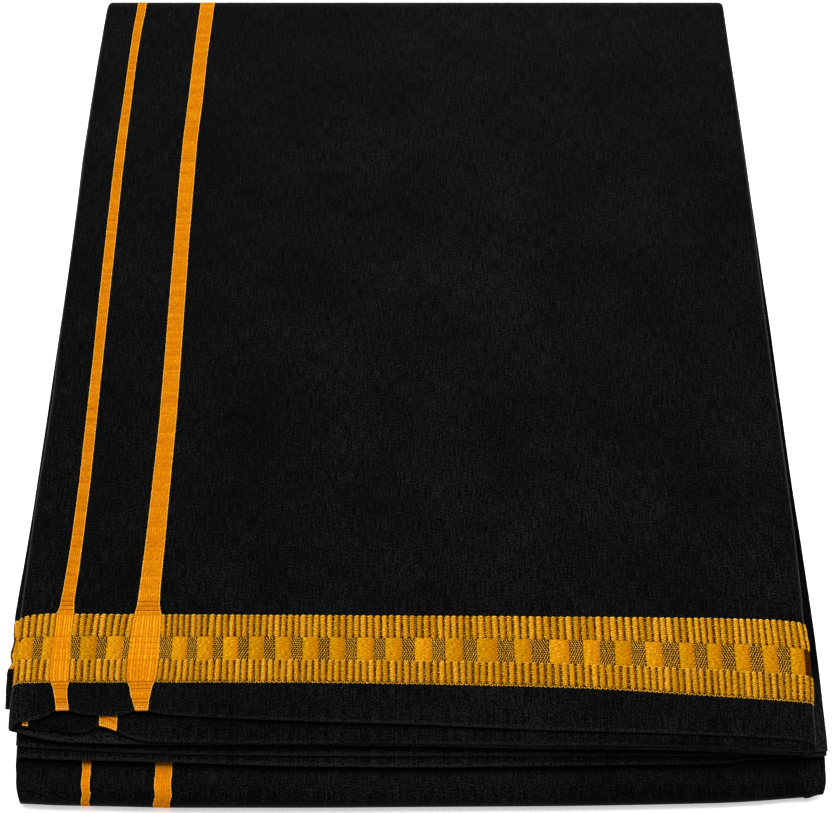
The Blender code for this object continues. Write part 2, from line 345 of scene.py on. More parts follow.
@dataclass(frozen=True)
class Loom:
    """The cloth as it was woven: u runs across from the left fold, v along from the cut end."""

    narrow_stripe: Pair = (13.35 * MM, 18.55 * MM)
    wide_stripe: Pair = (45.15 * MM, 52.55 * MM)
    eased_u: float = 74.0 * MM
    border: Pair = (16.0 * MM, 47.0 * MM)
    border_rows: Pair = (26.2 * MM, 36.6 * MM)

    # How far the stripes' edges are drawn to the side, by y: rows of (y, left and right of each stripe).
    drift: Array = table(
        (-215, 4.4, 4.3, 3.4, 0.5), (-196, 4.3, 4.1, 3.1, 0.5), (-193, 3.8, 3.4, 2.2, 0.5),
        (-190.5, 3.3, 2.9, 1.4, 0.5), (-188.5, 2.8, 2.5, 0.6, 0.8), (-186.5, 2.4, 2.3, 0.5, 1),
        (-184.6, 1.9, 2.3, 0.1, 1.2), (-182.2, 0.6, 2.6, -1.2, 1.9), (-181, -0.1, 2.5, -1.7, 2.6),
        (-172, -0.3, 1.9, -2, 2.8), (-163, -0.2, 1.4, -1.9, 2.6), (-154, -0.3, 1.2, -1.4, 2.3),
        (-151, -0.4, 1.2, -1, 2.1), (-149.2, 0.1, 1.2, -0.7, 1.7), (-147.8, 0.8, 0.6, -0.3, 0.9),
        (-144.5, 0.7, 0.6, -0.2, 0.9), (-139.7, 1.1, 0.6, 0, 0.7), (-130, 1.4, 0.9, 0.2, 0.7),
        (-115, 1.8, 0.9, 0.6, 0.7), (-84.6, 1.8, 0.9, 0.9, 0.6), (-52.5, 1.3, 0.3, 1.1, 0.6),
        (-19, 0.8, -0.4, 0.6, 0), (16.5, 0, -1, 0, -0.7), (53.6, -0.7, -1.6, -0.5, -1.5),
        (93, -1.3, -2.4, -1.2, -1.9), (120, -1.4, -2.6, -1.3, -2.2), (148, -1.1, -2.6, -0.8, -1.5),
        (177.6, -1, -2.7, -0.5, -1.4), (200, -0.8, -2.2, -0.1, -0.8), (217, -0.1, -1.3, 0.3, -0.3),
        (232, -0.2, -1.4, 0.3, -0.4))

    # How far the cloth inside the right fold reaches to the right: rows of (y, reach).
    calm_right: Array = table(
        (-212, 153.5), (-187, 154.7), (-167, 155.1), (-152, 155.2), (-140, 155.6), (-97, 156.6),
        (-40, 156.9), (8, 157.3), (82, 158.4), (230, 159.0))

    # The border's far and near edges: rows of (x, y).
    border_far: Array = table(
        (-162, -154.4), (-157, -152.7), (-152, -151.6), (-144.7, -151.1), (-120, -151.3), (-54.3, -151.7),
        (57.5, -152.5), (120, -153.2), (142, -153.9), (150, -154.7), (157, -155.8))
    border_near: Array = table(
        (-162, -184.4), (-157, -183.3), (-152, -182.6), (-120, -182.4), (-53, -182.4), (0, -183.1),
        (56, -184.6), (103, -187.0), (140, -188.7), (157, -190.0))

    @property
    def stripes(self) -> tuple[Pair, Pair]:
        """The left and right edges of both stripes."""
        return self.narrow_stripe, self.wide_stripe

    def marks(self, span: float) -> list[float]:
        """The u where the top's columns change their step, from the left fold to the span's end."""
        return [0.0, *self.narrow_stripe, *self.wide_stripe, self.eased_u, span - 16 * MM, span]


def linked(name: str, data: bpy.types.ID) -> Object:
    """A new object in the scene."""
    piece = bpy.data.objects.new(name, data)
    bpy.context.scene.collection.objects.link(piece)
    return piece


def grid_quads(rows: int, columns: int) -> Array:
    """The faces of a grid of places, row by row."""
    index = np.arange(rows * columns).reshape(rows, columns)
    return np.stack((index[:-1, :-1], index[:-1, 1:], index[1:, 1:], index[1:, :-1]), -1).reshape(-1, 4)


def weave_uv(mesh: bpy.types.Mesh, woven: Array) -> None:
    """Give a mesh the UV map Woven, from each vertex's (u, v) on the loom."""
    corner = np.empty(len(mesh.loops), np.int32)
    mesh.loops.foreach_get("vertex_index", corner)
    mesh.uv_layers.new(name="Woven").data.foreach_set("uv", woven[corner].astype(np.float32).reshape(-1))


@dataclass(frozen=True)
class Wall:
    """How a wall of cloth is finished at its border."""

    plies: int = 1
    lip_steps: int = 3
    groove: float = 0.6
    ragged: float = 0.0
    seed: int = 1


@dataclass
class SheetMesh:
    """A closed wall of cloth between an outer and an inner grid, with a rounded lip for each ply."""

    name: str
    outer: Array
    inner: Array
    loom: Array
    dye: Array
    wall: Wall = Wall()

    def _border(self) -> list[tuple[int, int]]:
        """The grid's border places, in order round it.

        Returns:
            Their rows and columns.
        """
        last, end = self.outer.shape[0] - 1, self.outer.shape[1] - 1
        return ([(0, j) for j in range(end + 1)] + [(i, end) for i in range(1, last + 1)]
                + [(last, j) for j in range(end - 1, -1, -1)] + [(i, 0) for i in range(last - 1, 0, -1)])

    def _outwards(self, i: int, j: int) -> tuple[Array, Array]:
        """Which way is out of the cloth at a border place.

        Args:
            i: the place's row.
            j: the place's column.

        Returns:
            The way out in space, and in the loom's (u, v).
        """
        rows, columns = self.outer.shape[:2]
        out, woven = np.zeros(3), np.zeros(2)
        for at_border, row, column in ((i == 0, 1, j), (i == rows - 1, rows - 2, j),
                                       (j == 0, i, 1), (j == columns - 1, i, columns - 2)):
            if at_border:
                here, inside = ((self.outer[k] + self.inner[k]) / 2 for k in ((i, j), (row, column)))
                out += unit(here - inside)
                woven += unit(self.loom[i, j] - self.loom[row, column])
        return unit(out), woven

    def _profile(self) -> list[tuple[float, float, int]]:
        """The lips as (share through the wall, reach in lip radii, ply)."""
        profile = []
        plies, steps = self.wall.plies, self.wall.lip_steps
        for ply in range(plies):
            if ply:
                profile.append((ply / plies, -self.wall.groove, ply))
            for angle in (math.pi * step / (steps + 1) for step in range(1, steps + 1)):
                profile.append(((ply + (1 - math.cos(angle)) / 2) / plies, math.sin(angle), ply))
        return profile

    def _unevenness(self, middle: Array, ply: int) -> float:
        """How far a ply's edge strays in or out where it passes a place.

        Args:
            middle: the place.
            ply: the ply.

        Returns:
            The stray, in metres.
        """
        if not self.wall.ragged:
            return 0.0
        phase = np.random.default_rng(self.wall.seed * 97 + ply).uniform(0, math.tau, 4)
        x, y = middle[0] / MM, middle[1] / MM
        wave = (math.sin((x + y) / 47 + phase[0]) + 0.7 * math.sin((x - y) / 23 + phase[1])
                + 0.35 * math.sin((x + y) / 9.1 + phase[2]))
        return self.wall.ragged * (0.5 * wave + 0.9 * math.sin(phase[3]) - 0.5)

    def build(self) -> Object:
        """Join the faces and lips into one closed mesh whose faces point outwards, with a woven UV map.

        Returns:
            The new object.
        """
        rows, columns = self.outer.shape[:2]
        plies, black = self.wall.plies, Dye.BLACK.value
        count = rows * columns
        quads = grid_quads(rows, columns)
        back = self.dye if plies == 1 else np.full_like(self.dye, black)
        border, profile = self._border(), self._profile()
        strands, places, woven = [], [], []
        fresh = 2 * count
        for i, j in border:
            out, flat_out = self._outwards(i, j)
            top, low = self.outer[i, j], self.inner[i, j]
            lip = np.linalg.norm(top - low) / 2 / plies
            for share, reach, ply in profile:
                stray = self._unevenness((top + low) / 2, ply)
                if reach < 0:
                    stray = min(stray, self._unevenness((top + low) / 2, ply - 1))
                places.append(top + (low - top) * share + out * (lip * reach + stray))
                woven.append(self.loom[i, j] + flat_out * lip * 2 * plies * share)
            start = i * columns + j
            strands.append([start, *range(fresh, fresh + len(profile)), start + count])
            fresh += len(profile)
        lip_faces, lip_dyes = [], []
        for k, (one, two) in enumerate(zip(strands, strands[1:] + strands[:1])):
            (i, j), (m, n) = border[k], border[(k + 1) % len(border)]
            dye = int(self.dye[min(i, m, rows - 2), min(j, n, columns - 2)])
            for step in range(len(one) - 1):
                lip_faces.append((one[step + 1], one[step], two[step], two[step + 1]))
                lip_dyes.append(dye if step <= self.wall.lip_steps else black)
        flat_loom = self.loom.reshape(-1, 2)
        mesh = bpy.data.meshes.new(self.name)
        corners = np.concatenate((self.outer.reshape(-1, 3), self.inner.reshape(-1, 3), places))
        faces = np.concatenate((quads, quads[:, ::-1] + count, lip_faces))
        mesh.from_pydata(corners.tolist(), [], faces.tolist())
        dyes = np.concatenate((self.dye.reshape(-1), back.reshape(-1), lip_dyes))
        mesh.polygons.foreach_set("material_index", dyes.astype(np.int32))
        work = bmesh.new()
        work.from_mesh(mesh)
        bmesh.ops.recalc_face_normals(work, faces=work.faces)
        work.to_mesh(mesh)
        work.free()
        weave_uv(mesh, np.concatenate((flat_loom, flat_loom, woven)))
        mesh.shade_smooth()
        return linked(self.name, mesh)


class NodeTree:
    """A node tree, built step by step."""

    def __init__(self, tree: bpy.types.NodeTree) -> None:
        """Keep the tree."""
        self.tree = tree

    def feed(self, socket: NodeSocket, value: object) -> None:
        """Link an output to a socket, or set the socket's own value."""
        if isinstance(value, NodeSocket):
            self.tree.links.new(value, socket)
        else:
            socket.default_value = value

    def put(self, kind: str, inputs: dict[int | str, object] | None = None, **values: object) -> Node:
        """Add a node.

        Args:
            kind: the node's type.
            inputs: what its sockets get, by name or number: a value, or an output to link.
            values: its properties, by name.

        Returns:
            The node.
        """
        node = self.tree.nodes.new(kind)
        for key, value in values.items():
            setattr(node, key, value)
        for key, value in (inputs or {}).items():
            self.feed(node.inputs[key], value)
        return node

    def math(self, operation: str, *values: object) -> NodeSocket:
        """A Math node's output."""
        return self.put("ShaderNodeMath", dict(enumerate(values)), operation=operation).outputs[0]

    def times(self, one: object, other: object) -> NodeSocket:
        """The product of two values."""
        return self.math("MULTIPLY", one, other)

    def added(self, value: object, factor: object, base: object) -> NodeSocket:
        """The base, with a value times a factor added to it."""
        return self.math("MULTIPLY_ADD", value, factor, base)


class Shader(NodeTree):
    """A material's node tree, round one Principled shader."""

    def __init__(self, name: str) -> None:
        """Start a material of that name."""
        self.material = bpy.data.materials.new(name)
        self.material.use_nodes = True
        super().__init__(self.material.node_tree)
        self.surface = self.tree.nodes["Principled BSDF"]

    def woven(self) -> NodeSocket:
        """The woven UV of the piece, in metres."""
        return self.put("ShaderNodeUVMap", uv_map="Woven").outputs["UV"]

    def attribute(self, name: str, output: str = "Fac") -> NodeSocket:
        """An attribute of the piece."""
        return self.put("ShaderNodeAttribute", attribute_name=name).outputs[output]

    def scaled(self, vector: NodeSocket, scale: Sequence[float], turn: float = 0.0,
               way: str = "POINT") -> NodeSocket:
        """A vector stretched along its axes and turned about Z, or measured in such units with TEXTURE."""
        inputs = {"Vector": vector, "Scale": scale, "Rotation": (0.0, 0.0, turn)}
        return self.put("ShaderNodeMapping", inputs, vector_type=way).outputs[0]

    def noise(self, vector: NodeSocket, detail: float) -> NodeSocket:
        """A noise texture's value."""
        inputs = {"Vector": vector, "Scale": 1.0, "Detail": detail, "Roughness": 0.5}
        return self.put("ShaderNodeTexNoise", inputs).outputs[0]

    def mixed(self, share: NodeSocket, colour: NodeSocket, other: Colour) -> NodeSocket:
        """A colour blended towards another one."""
        inputs = {"Factor": share, 6: colour, 7: (*other, 1.0)}
        return self.put("ShaderNodeMix", inputs, data_type="RGBA").outputs[2]

    def ranged(self, value: NodeSocket, *limits: float) -> NodeSocket:
        """A value carried from one range (low, high) to another and kept inside it."""
        return self.put("ShaderNodeMapRange", dict(enumerate((value, *limits))), clamp=True).outputs[0]

    def split(self, vector: NodeSocket) -> tuple[NodeSocket, ...]:
        """The parts of a vector."""
        return tuple(self.put("ShaderNodeSeparateXYZ", {0: vector}).outputs)

    def ramp(self, value: NodeSocket, *stops: tuple[float, Colour]) -> NodeSocket:
        """A colour ramp with (position, RGB) stops.

        Args:
            value: where to read it.
            stops: its stops.

        Returns:
            The colour.
        """
        node = self.put("ShaderNodeValToRGB", {0: value})
        elements = node.color_ramp.elements
        while len(elements) < len(stops):
            elements.new(0.5)
        for element, (position, colour) in zip(elements, stops):
            element.position = position
            element.color = (*colour, 1.0)
        return node.outputs[0]

    def bump(self, height: NodeSocket, distance: float, strength: float) -> None:
        """Raise the surface's fine texture."""
        inputs = {"Strength": strength, "Distance": distance, "Height": height}
        self.feed(self.surface.inputs["Normal"], self.put("ShaderNodeBump", inputs).outputs[0])

    def finish(self, colour: NodeSocket, roughness: float, specular: float = 0.0,
               sheen: float = 0.0) -> Material:
        """Set the surface's colour, roughness, specular level and sheen.

        Args:
            colour: its colour.
            roughness: its roughness.
            specular: its specular level.
            sheen: how much sheen its fibres give.

        Returns:
            The material.
        """
        for name, value in (("Base Color", colour), ("Roughness", roughness),
                            ("Specular IOR Level", specular), ("Sheen Weight", sheen),
                            ("Sheen Roughness", 0.36), ("Sheen Tint", (1, 1, 1, 1))):
            self.feed(self.surface.inputs[name], value)
        return self.material


@dataclass(frozen=True)
class BlackCotton:
    """Black plain-woven cotton: fine threads, some thicker than others, slight blotches, and painted light
    and shade.
    """

    name: str = "black_cotton_weave"
    thread: float = 0.58 * MM
    warp_length: float = 8.0 * MM
    weft_length: float = 4.0 * MM
    dark: Colour = (0.0001, 0.0001, 0.0001)
    middle: Colour = (0.0022, 0.0022, 0.0022)
    light: Colour = (0.0100, 0.0100, 0.0101)
    # Painted light and shade: a painted light factor a little way back from the cut end, a painted highlight
    # along the cut edge, painted shade over the left and the right parts, and painted highlights along the
    # left and the right side near the cut end.
    cut_end: float = 1.0
    cut_edge_highlight: float = 1.6
    left_side_shade: float = 0.88
    left_edge_highlight: float = 1.4
    right_side_shade: float = 0.94
    right_edge_highlight: float = 1.0
    fuzz: float = 0.110

    def material(self) -> Material:
        """Build the finish.

        Returns:
            The material.
        """
        shader = Shader(self.name)
        uv = shader.woven()
        fine = 1 / self.thread
        warp, weft, grain, cloud = (
            shader.noise(shader.scaled(uv, (*scale, 1)), detail) for scale, detail in (
            ((fine, 1 / self.warp_length), 1.0), ((1 / self.weft_length, fine * 0.9), 1.0),
            ((fine * 0.95, fine * 0.8), 0.5), ((28, 24), 3.0)))
        tone = shader.ranged(shader.added(grain, 2.7, shader.added(warp, 1.7, weft)), 1.9, 3.5, 0.0, 1.0)
        across, along, _ = shader.split(uv)
        # Random blotches, then a painted highlight along the cut edge, a painted light factor a little way
        # back from it, and painted shade over the left and the right parts.
        for place, *limits in ((cloud, 0.3, 0.7, 0.84, 1.14), (along, 0.0002, 0.0013, self.cut_edge_highlight, 1.0),
                               (along, 0.010, 0.017, self.cut_end, 1.0),
                               (across, 0.080, 0.170, self.left_side_shade, 1.0),
                               (across, 0.190, 0.280, 1.0, self.right_side_shade)):
            tone = shader.times(tone, shader.ranged(place, *limits))
        # Painted highlights along the left and the right side, near the cut end.
        edge = shader.math("ADD", shader.ranged(across, 0.305, 0.310, 0.0, self.right_edge_highlight - 1),
                           shader.ranged(across, 0.0, 0.008, self.left_edge_highlight - 1, 0.0))
        edge = shader.times(edge, shader.ranged(along, 0.020, 0.045, 1.0, 0.0))
        tone = shader.added(tone, edge, tone)
        colour = shader.ramp(tone, (0.0, self.dark), (0.5, self.middle), (1.0, self.light))
        u, v, _ = shader.split(shader.scaled(uv, (fine * math.tau, fine * math.tau, 1)))
        weave = shader.times(shader.math("SINE", u), shader.math("SINE", v))
        shader.bump(shader.added(weave, 0.4, tone), 0.00010, 0.5)
        return shader.finish(colour, 0.9, sheen=self.fuzz)


@dataclass(frozen=True)
class OrangeThread:
    """Bright orange thread, packed into cords, painted darker towards each cord's sides as shade."""

    name: str = "orange_stripe_thread"
    groove: Colour = (0.160, 0.020, 0.0004)
    deep: Colour = (0.350, 0.088, 0.0008)
    base: Colour = (0.475, 0.156, 0.0010)
    pale: Colour = (0.640, 0.290, 0.0100)
    ply: float = 0.40 * MM

    def material(self) -> Material:
        """Build the finish.

        Returns:
            The material.
        """
        shader = Shader(self.name)
        fine = 1 / self.ply
        fibre = shader.noise(shader.scaled(shader.woven(), (fine, fine * 0.3, 1)), 2.0)
        side = shader.split(shader.attribute("lay", "Vector"))[0]
        # Painted shade: each cord darkens towards its sides.
        flank_shade = shader.math("POWER", shader.math("ABSOLUTE", shader.times(side, 2.0)), 3.0)
        mix = shader.added(shader.math("SUBTRACT", shader.attribute("tone"), 0.5), 0.26,
                           shader.added(fibre, 0.55, 0.26))
        colour = shader.ramp(shader.added(flank_shade, -0.36, mix), (0.0, self.groove), (0.3, self.deep),
                             (0.52, self.base), (0.85, self.pale))
        shader.bump(fibre, 0.00008, 0.5)
        return shader.finish(colour, 0.7)


@dataclass(frozen=True)
class GoldThread:
    """Twisted gold thread with a fine slanting twist; the run across each float from dark edges over olive
    and gold to orange is painted light and shade, with pale painted highlights.
    """

    name: str = "gold_border_thread"
    edge: Colour = (0.100, 0.030, 0.0005)
    left: Colour = (0.430, 0.215, 0.0016)
    crest: Colour = (0.440, 0.185, 0.0014)
    right: Colour = (0.360, 0.098, 0.0006)
    far_edge: Colour = (0.080, 0.008, 0.0001)
    # The colour of the painted highlights.
    tip: Colour = (0.760, 0.470, 0.0700)
    twist: float = 0.76 * MM
    slant: float = math.radians(16)
    relief: float = 1.0
    mottle: float = 2.1
    streak: Pair = (0.50 * MM, 0.75 * MM)

    def material(self) -> Material:
        """Build the finish.

        Returns:
            The material.
        """
        shader = Shader(self.name)
        uv = shader.woven()
        side, end, _ = shader.split(shader.attribute("lay", "Vector"))
        lane = shader.split(shader.scaled(uv, (1 / self.twist, 1 / self.twist, 1), self.slant))[1]
        twist = shader.math("SINE", shader.times(lane, math.tau))
        fleck = shader.noise(shader.scaled(uv, (*self.streak, 1.0), self.slant, "TEXTURE"), 1.0)
        place = shader.added(shader.math("SUBTRACT", fleck, 0.5), 0.5, shader.math("ADD", side, 0.5))
        # Painted light and shade across each float: dark edges, a lit olive left flank, the gold crest and a
        # shaded orange right flank.
        hue = shader.ramp(place, (0.0, self.edge), (0.14, self.left), (0.46, self.crest), (0.80, self.right),
                          (1.0, self.far_edge))
        light = shader.added(twist, 0.36 * self.relief, 0.90 - self.mottle / 2)
        light = shader.added(shader.math("SUBTRACT", shader.attribute("tone"), 0.5), 0.42,
                             shader.added(fleck, self.mottle, light))
        shader.bump(shader.added(twist, 0.5, fleck), 0.00009, 0.6)
        # Painted highlights: pale at each float's far end and on its brightest spots.
        hue = shader.mixed(shader.ranged(end, 0.43, 0.49, 0.0, 0.75 * self.relief), hue, self.tip)
        hue = shader.mixed(shader.ranged(light, 1.10, 1.9, 0.0, 0.4), hue, self.tip)
        inputs = {0: hue, "Scale": shader.math("MAXIMUM", light, 0.05)}
        return shader.finish(shader.put("ShaderNodeVectorMath", inputs, operation="SCALE").outputs[0], 0.7)


@dataclass(frozen=True)
class BorderGround:
    """The dark ground between the border's cords, crossed by small gold ticks."""

    name: str = "border_ground_weave"
    dark: Colour = (0.012, 0.0022, 0.0003)
    tick: Colour = (0.110, 0.0300, 0.0020)
    pitch: float = 0.88 * MM

    def material(self) -> Material:
        """Build the finish.

        Returns:
            The material.
        """
        shader = Shader(self.name)
        uv = shader.woven()
        v = shader.split(shader.scaled(uv, (1.0, math.tau / self.pitch, 1)))[1]
        stray = shader.noise(shader.scaled(uv, (900, 500, 1)), 1.0)
        rows = shader.math("SINE", shader.added(stray, 5.0, v))
        mask = shader.ranged(shader.added(stray, 0.8, rows), 0.75, 1.35, 0, 1)
        shader.bump(mask, 0.00012, 0.6)
        return shader.finish(shader.ramp(mask, (0.0, self.dark), (1.0, self.tick)), 0.8, 0.01)


@dataclass(frozen=True)
class StudioFloor:
    """A plain pale floor with the faintest grain."""

    name: str = "pale_floor"
    tone: float = 0.95
    glow: float = 0.46

    def material(self) -> Material:
        """Build the finish.

        Returns:
            The material.
        """
        shader = Shader(self.name)
        spot = shader.put("ShaderNodeTexCoord").outputs["Object"]
        grain = shader.noise(shader.scaled(spot, (9, 9, 9)), 3.0)
        colour = shader.ramp(grain, (0.3, (self.tone * 0.99,) * 3), (0.7, (self.tone,) * 3))
        shader.feed(shader.surface.inputs["Emission Color"], (1.0, 1.0, 1.0, 1.0))
        shader.feed(shader.surface.inputs["Emission Strength"], self.glow)
        return shader.finish(colour, 0.9, 0.05)


def made(finish: BlackCotton | OrangeThread | GoldThread | BorderGround) -> Material:
    """A dataclass field that holds a finish's material."""
    return field(default_factory=finish.material)


@dataclass
class Wardrobe:
    """The finishes of the cloth, made once and shared by its pieces."""

    black: Material = made(BlackCotton())
    # A shaded copy of the black, for the lips and the second end: deeper painted shade over the right part,
    # light painted shade over the left, painted light a little way back from the cut end, and a strong
    # painted highlight along the right side near the cut end.
    shaded: Material = made(BlackCotton(
        "shaded_inner_cotton_weave", cut_end=1.18, left_side_shade=0.92, left_edge_highlight=1.0, right_side_shade=0.60, right_edge_highlight=2.3))
    # A shaded copy of the black, for the bottom panel: painted shade over the left and, deeper, the right
    # part, and no painted highlight on the left side.
    lowest: Material = made(BlackCotton(
        "shaded_lowest_cotton_weave", left_side_shade=0.92, left_edge_highlight=1.0, right_side_shade=0.82))
    orange: Material = made(OrangeThread())
    crossing: Material = made(OrangeThread(
        "crossing_thread", groove=(0.200, 0.045, 0.0006), deep=(0.380, 0.108, 0.0009),
        base=(0.530, 0.182, 0.0012), pale=(0.720, 0.330, 0.0120)))
    # A lighter copy of the orange, for the stripes on the bottom panel's bend: painted light.
    bend: Material = made(OrangeThread(
        "lit_bend_thread", groove=(0.190, 0.036, 0.0006), deep=(0.375, 0.088, 0.0008),
        base=(0.535, 0.160, 0.0010), pale=(0.710, 0.280, 0.0080)))
    edging: Material = made(OrangeThread(
        "pale_edging_thread", groove=(0.30, 0.10, 0.002), deep=(0.58, 0.26, 0.012),
        base=(0.78, 0.42, 0.055), pale=(0.92, 0.60, 0.160)))
    gold: Material = made(GoldThread())
    satin: Material = made(GoldThread(
        "gold_satin_thread", edge=(0.400, 0.175, 0.0010), left=(0.470, 0.205, 0.0012),
        crest=(0.440, 0.170, 0.0008), right=(0.410, 0.145, 0.0006), far_edge=(0.360, 0.105, 0.0004),
        twist=1.3 * MM, slant=math.radians(82), relief=0.0, mottle=1.9, streak=(0.45 * MM, 1.3 * MM)))
    pale: Material = made(GoldThread(
        "pale_gold_thread", edge=(0.20, 0.08, 0.002), left=(0.54, 0.27, 0.012), crest=(0.68, 0.38, 0.040),
        right=(0.50, 0.21, 0.008), far_edge=(0.16, 0.05, 0.001), relief=0.2, mottle=1.2))
    ground: Material = made(BorderGround())

    def dress(self, piece: Object, black: Material) -> None:
        """Give a sheet one of the blacks and the other dyes, in the order of Dye."""
        for material in (black, self.orange, self.ground):
            piece.data.materials.append(material)


@dataclass(frozen=True)
class Pad:
    """One kind of woven float, as a small pillow laid on the cloth."""

    rise: float
    cross_power: float = 2.0
    end_power: float = 3.0
    narrowing: float = 0.4
    narrow_power: float = 3.0
    columns: int = 3
    rows: int = 4
    sunk: float = 0.03 * MM


class LoomFace:
    """The outer face of a sheet as a helper surface, on which pads are laid by their woven (u, v)."""

    def __init__(self, name: str, outer: Array, loom: Array) -> None:
        """Build the helper.

        Args:
            name: the helper's name.
            outer: the places of the face, by row and column.
            loom: their (u, v).
        """
        mesh = bpy.data.meshes.new(name)
        mesh.from_pydata(outer.reshape(-1, 3).tolist(), [], grid_quads(*outer.shape[:2]).tolist())
        weave_uv(mesh, loom.reshape(-1, 2))
        up = np.cross(np.gradient(outer, axis=1), np.gradient(outer, axis=0))
        up /= np.maximum(np.linalg.norm(up, axis=-1, keepdims=True), 1e-12)
        lift = mesh.attributes.new("up", "FLOAT_VECTOR", "POINT")
        lift.data.foreach_set("vector", up.astype(np.float32).reshape(-1))
        self.piece = linked(name, mesh)

    def remove(self) -> None:
        """Take the helper away."""
        bpy.data.objects.remove(self.piece, do_unlink=True)


class PadTree(NodeTree):
    """The Geometry Nodes tree that lays pads on a cloth face and follows its bends."""

    def __init__(self) -> None:
        """Name the tree's inputs and build it once."""
        super().__init__(bpy.data.node_groups.new("woven_pads", "GeometryNodeTree"))
        self.identifiers: dict[str, str] = {}
        new_socket = self.tree.interface.new_socket
        for kind, *names in (
                ("Geometry", "Geometry"), ("Object", "Cloth Face"),
                ("Float", "Rise", "Cross Power", "End Power", "Narrowing", "Narrow Power", "Sunk"),
                ("Int", "Columns", "Rows"), ("Material", "Thread")):
            for name in names:
                item = new_socket(name=name, in_out="INPUT", socket_type="NodeSocket" + kind)
                self.identifiers[name] = item.identifier
        new_socket(name="Geometry", in_out="OUTPUT", socket_type="NodeSocketGeometry")
        self._wire()

    def _named(self, name: str, kind: str = "FLOAT_VECTOR") -> NodeSocket:
        """A named attribute's output."""
        return self.put("GeometryNodeInputNamedAttribute", {"Name": name}, data_type=kind).outputs[0]

    def _swell(self, share: NodeSocket, power: NodeSocket) -> NodeSocket:
        """One less the doubled share's power: full in the middle, nothing at the edge."""
        doubled = self.math("MINIMUM", self.math("ABSOLUTE", self.times(share, 2.0)), 1.0)
        return self.math("SUBTRACT", 1.0, self.math("POWER", doubled, power))

    def _pillow(self, given: dict[str, NodeSocket]) -> NodeSocket:
        """A unit pillow, with its own flat place kept as the attribute lay.

        Args:
            given: the tree's inputs, by name.

        Returns:
            The pillow's geometry.
        """
        grid = self.put("GeometryNodeMeshGrid", {
            "Size X": 1.0, "Size Y": 1.0, "Vertices X": given["Columns"], "Vertices Y": given["Rows"]})
        place = self.put("GeometryNodeInputPosition").outputs[0]
        x, y = (self.times(self.math("SINE", self.times(part, math.pi)), 0.5)
                for part in self.put("ShaderNodeSeparateXYZ", {0: place}).outputs[:2])
        crowded = self.put("ShaderNodeCombineXYZ", {0: x, 1: y}).outputs[0]
        keep = self.put("GeometryNodeStoreNamedAttribute", {
            "Geometry": grid.outputs["Mesh"], "Name": "lay", "Value": crowded}, data_type="FLOAT_VECTOR",
            domain="POINT")
        taper = self.math("SUBTRACT", self._swell(y, given["Narrow Power"]), 1.0)
        height = self.times(self._swell(x, given["Cross Power"]), self._swell(y, given["End Power"]))
        join = self.put("ShaderNodeCombineXYZ", {
            0: self.times(x, self.added(given["Narrowing"], taper, 1.0)), 1: y, 2: height}).outputs[0]
        return self.put("GeometryNodeSetPosition", {"Geometry": keep.outputs[0], "Position": join}).outputs[0]

    def _wire(self) -> None:
        """Join the tree: pillows on points, made real, laid on the face by their (u, v)."""
        given = self.put("NodeGroupInput").outputs
        turn = self.put("ShaderNodeCombineXYZ", {2: self._named("turn", "FLOAT")}).outputs[0]
        spread = self.put("GeometryNodeInstanceOnPoints", {
            "Points": given["Geometry"], "Instance": self._pillow(given), "Rotation": turn,
            "Scale": self._named("size")})
        real = self.put("GeometryNodeRealizeInstances", {0: spread.outputs[0]})
        flat = self.put("GeometryNodeInputPosition").outputs[0]
        woven = self.put("GeometryNodeStoreNamedAttribute", {
            "Geometry": real.outputs[0], "Name": "Woven", "Value": flat}, data_type="FLOAT2", domain="CORNER")
        face = self.put("GeometryNodeObjectInfo", {"Object": given["Cloth Face"]}, transform_space="ORIGINAL")
        place, up = (self.put("GeometryNodeSampleUVSurface", {
            "Mesh": face.outputs["Geometry"], "Value": value, "UV Map": self._named("Woven"),
            "Sample UV": flat}, data_type="FLOAT_VECTOR").outputs
            for value in (self.put("GeometryNodeInputPosition").outputs[0], self._named("up")))
        height = self.put("ShaderNodeSeparateXYZ", {0: flat}).outputs[2]
        lift = self.added(height, given["Rise"], self.times(given["Sunk"], -1.0))
        stretch = self.put("ShaderNodeVectorMath", {0: up["Value"], "Scale": lift}, operation="SCALE")
        total = self.put("ShaderNodeVectorMath", {0: place["Value"], 1: stretch.outputs[0]}, operation="ADD")
        missed = self.put("FunctionNodeBooleanMath", {0: place["Is Valid"]}, operation="NOT")
        trim = self.put("GeometryNodeDeleteGeometry", {
            "Geometry": woven.outputs[0], "Selection": missed.outputs[0]}, domain="POINT")
        laid = self.put("GeometryNodeSetPosition", {
            "Geometry": trim.outputs[0], "Position": total.outputs[0]})
        smooth = self.put("GeometryNodeSetShadeSmooth", {"Geometry": laid.outputs[0]})
        coat = self.put("GeometryNodeSetMaterial", {
            "Geometry": smooth.outputs[0], "Material": given["Thread"]})
        self.put("NodeGroupOutput", {0: coat.outputs[0]})

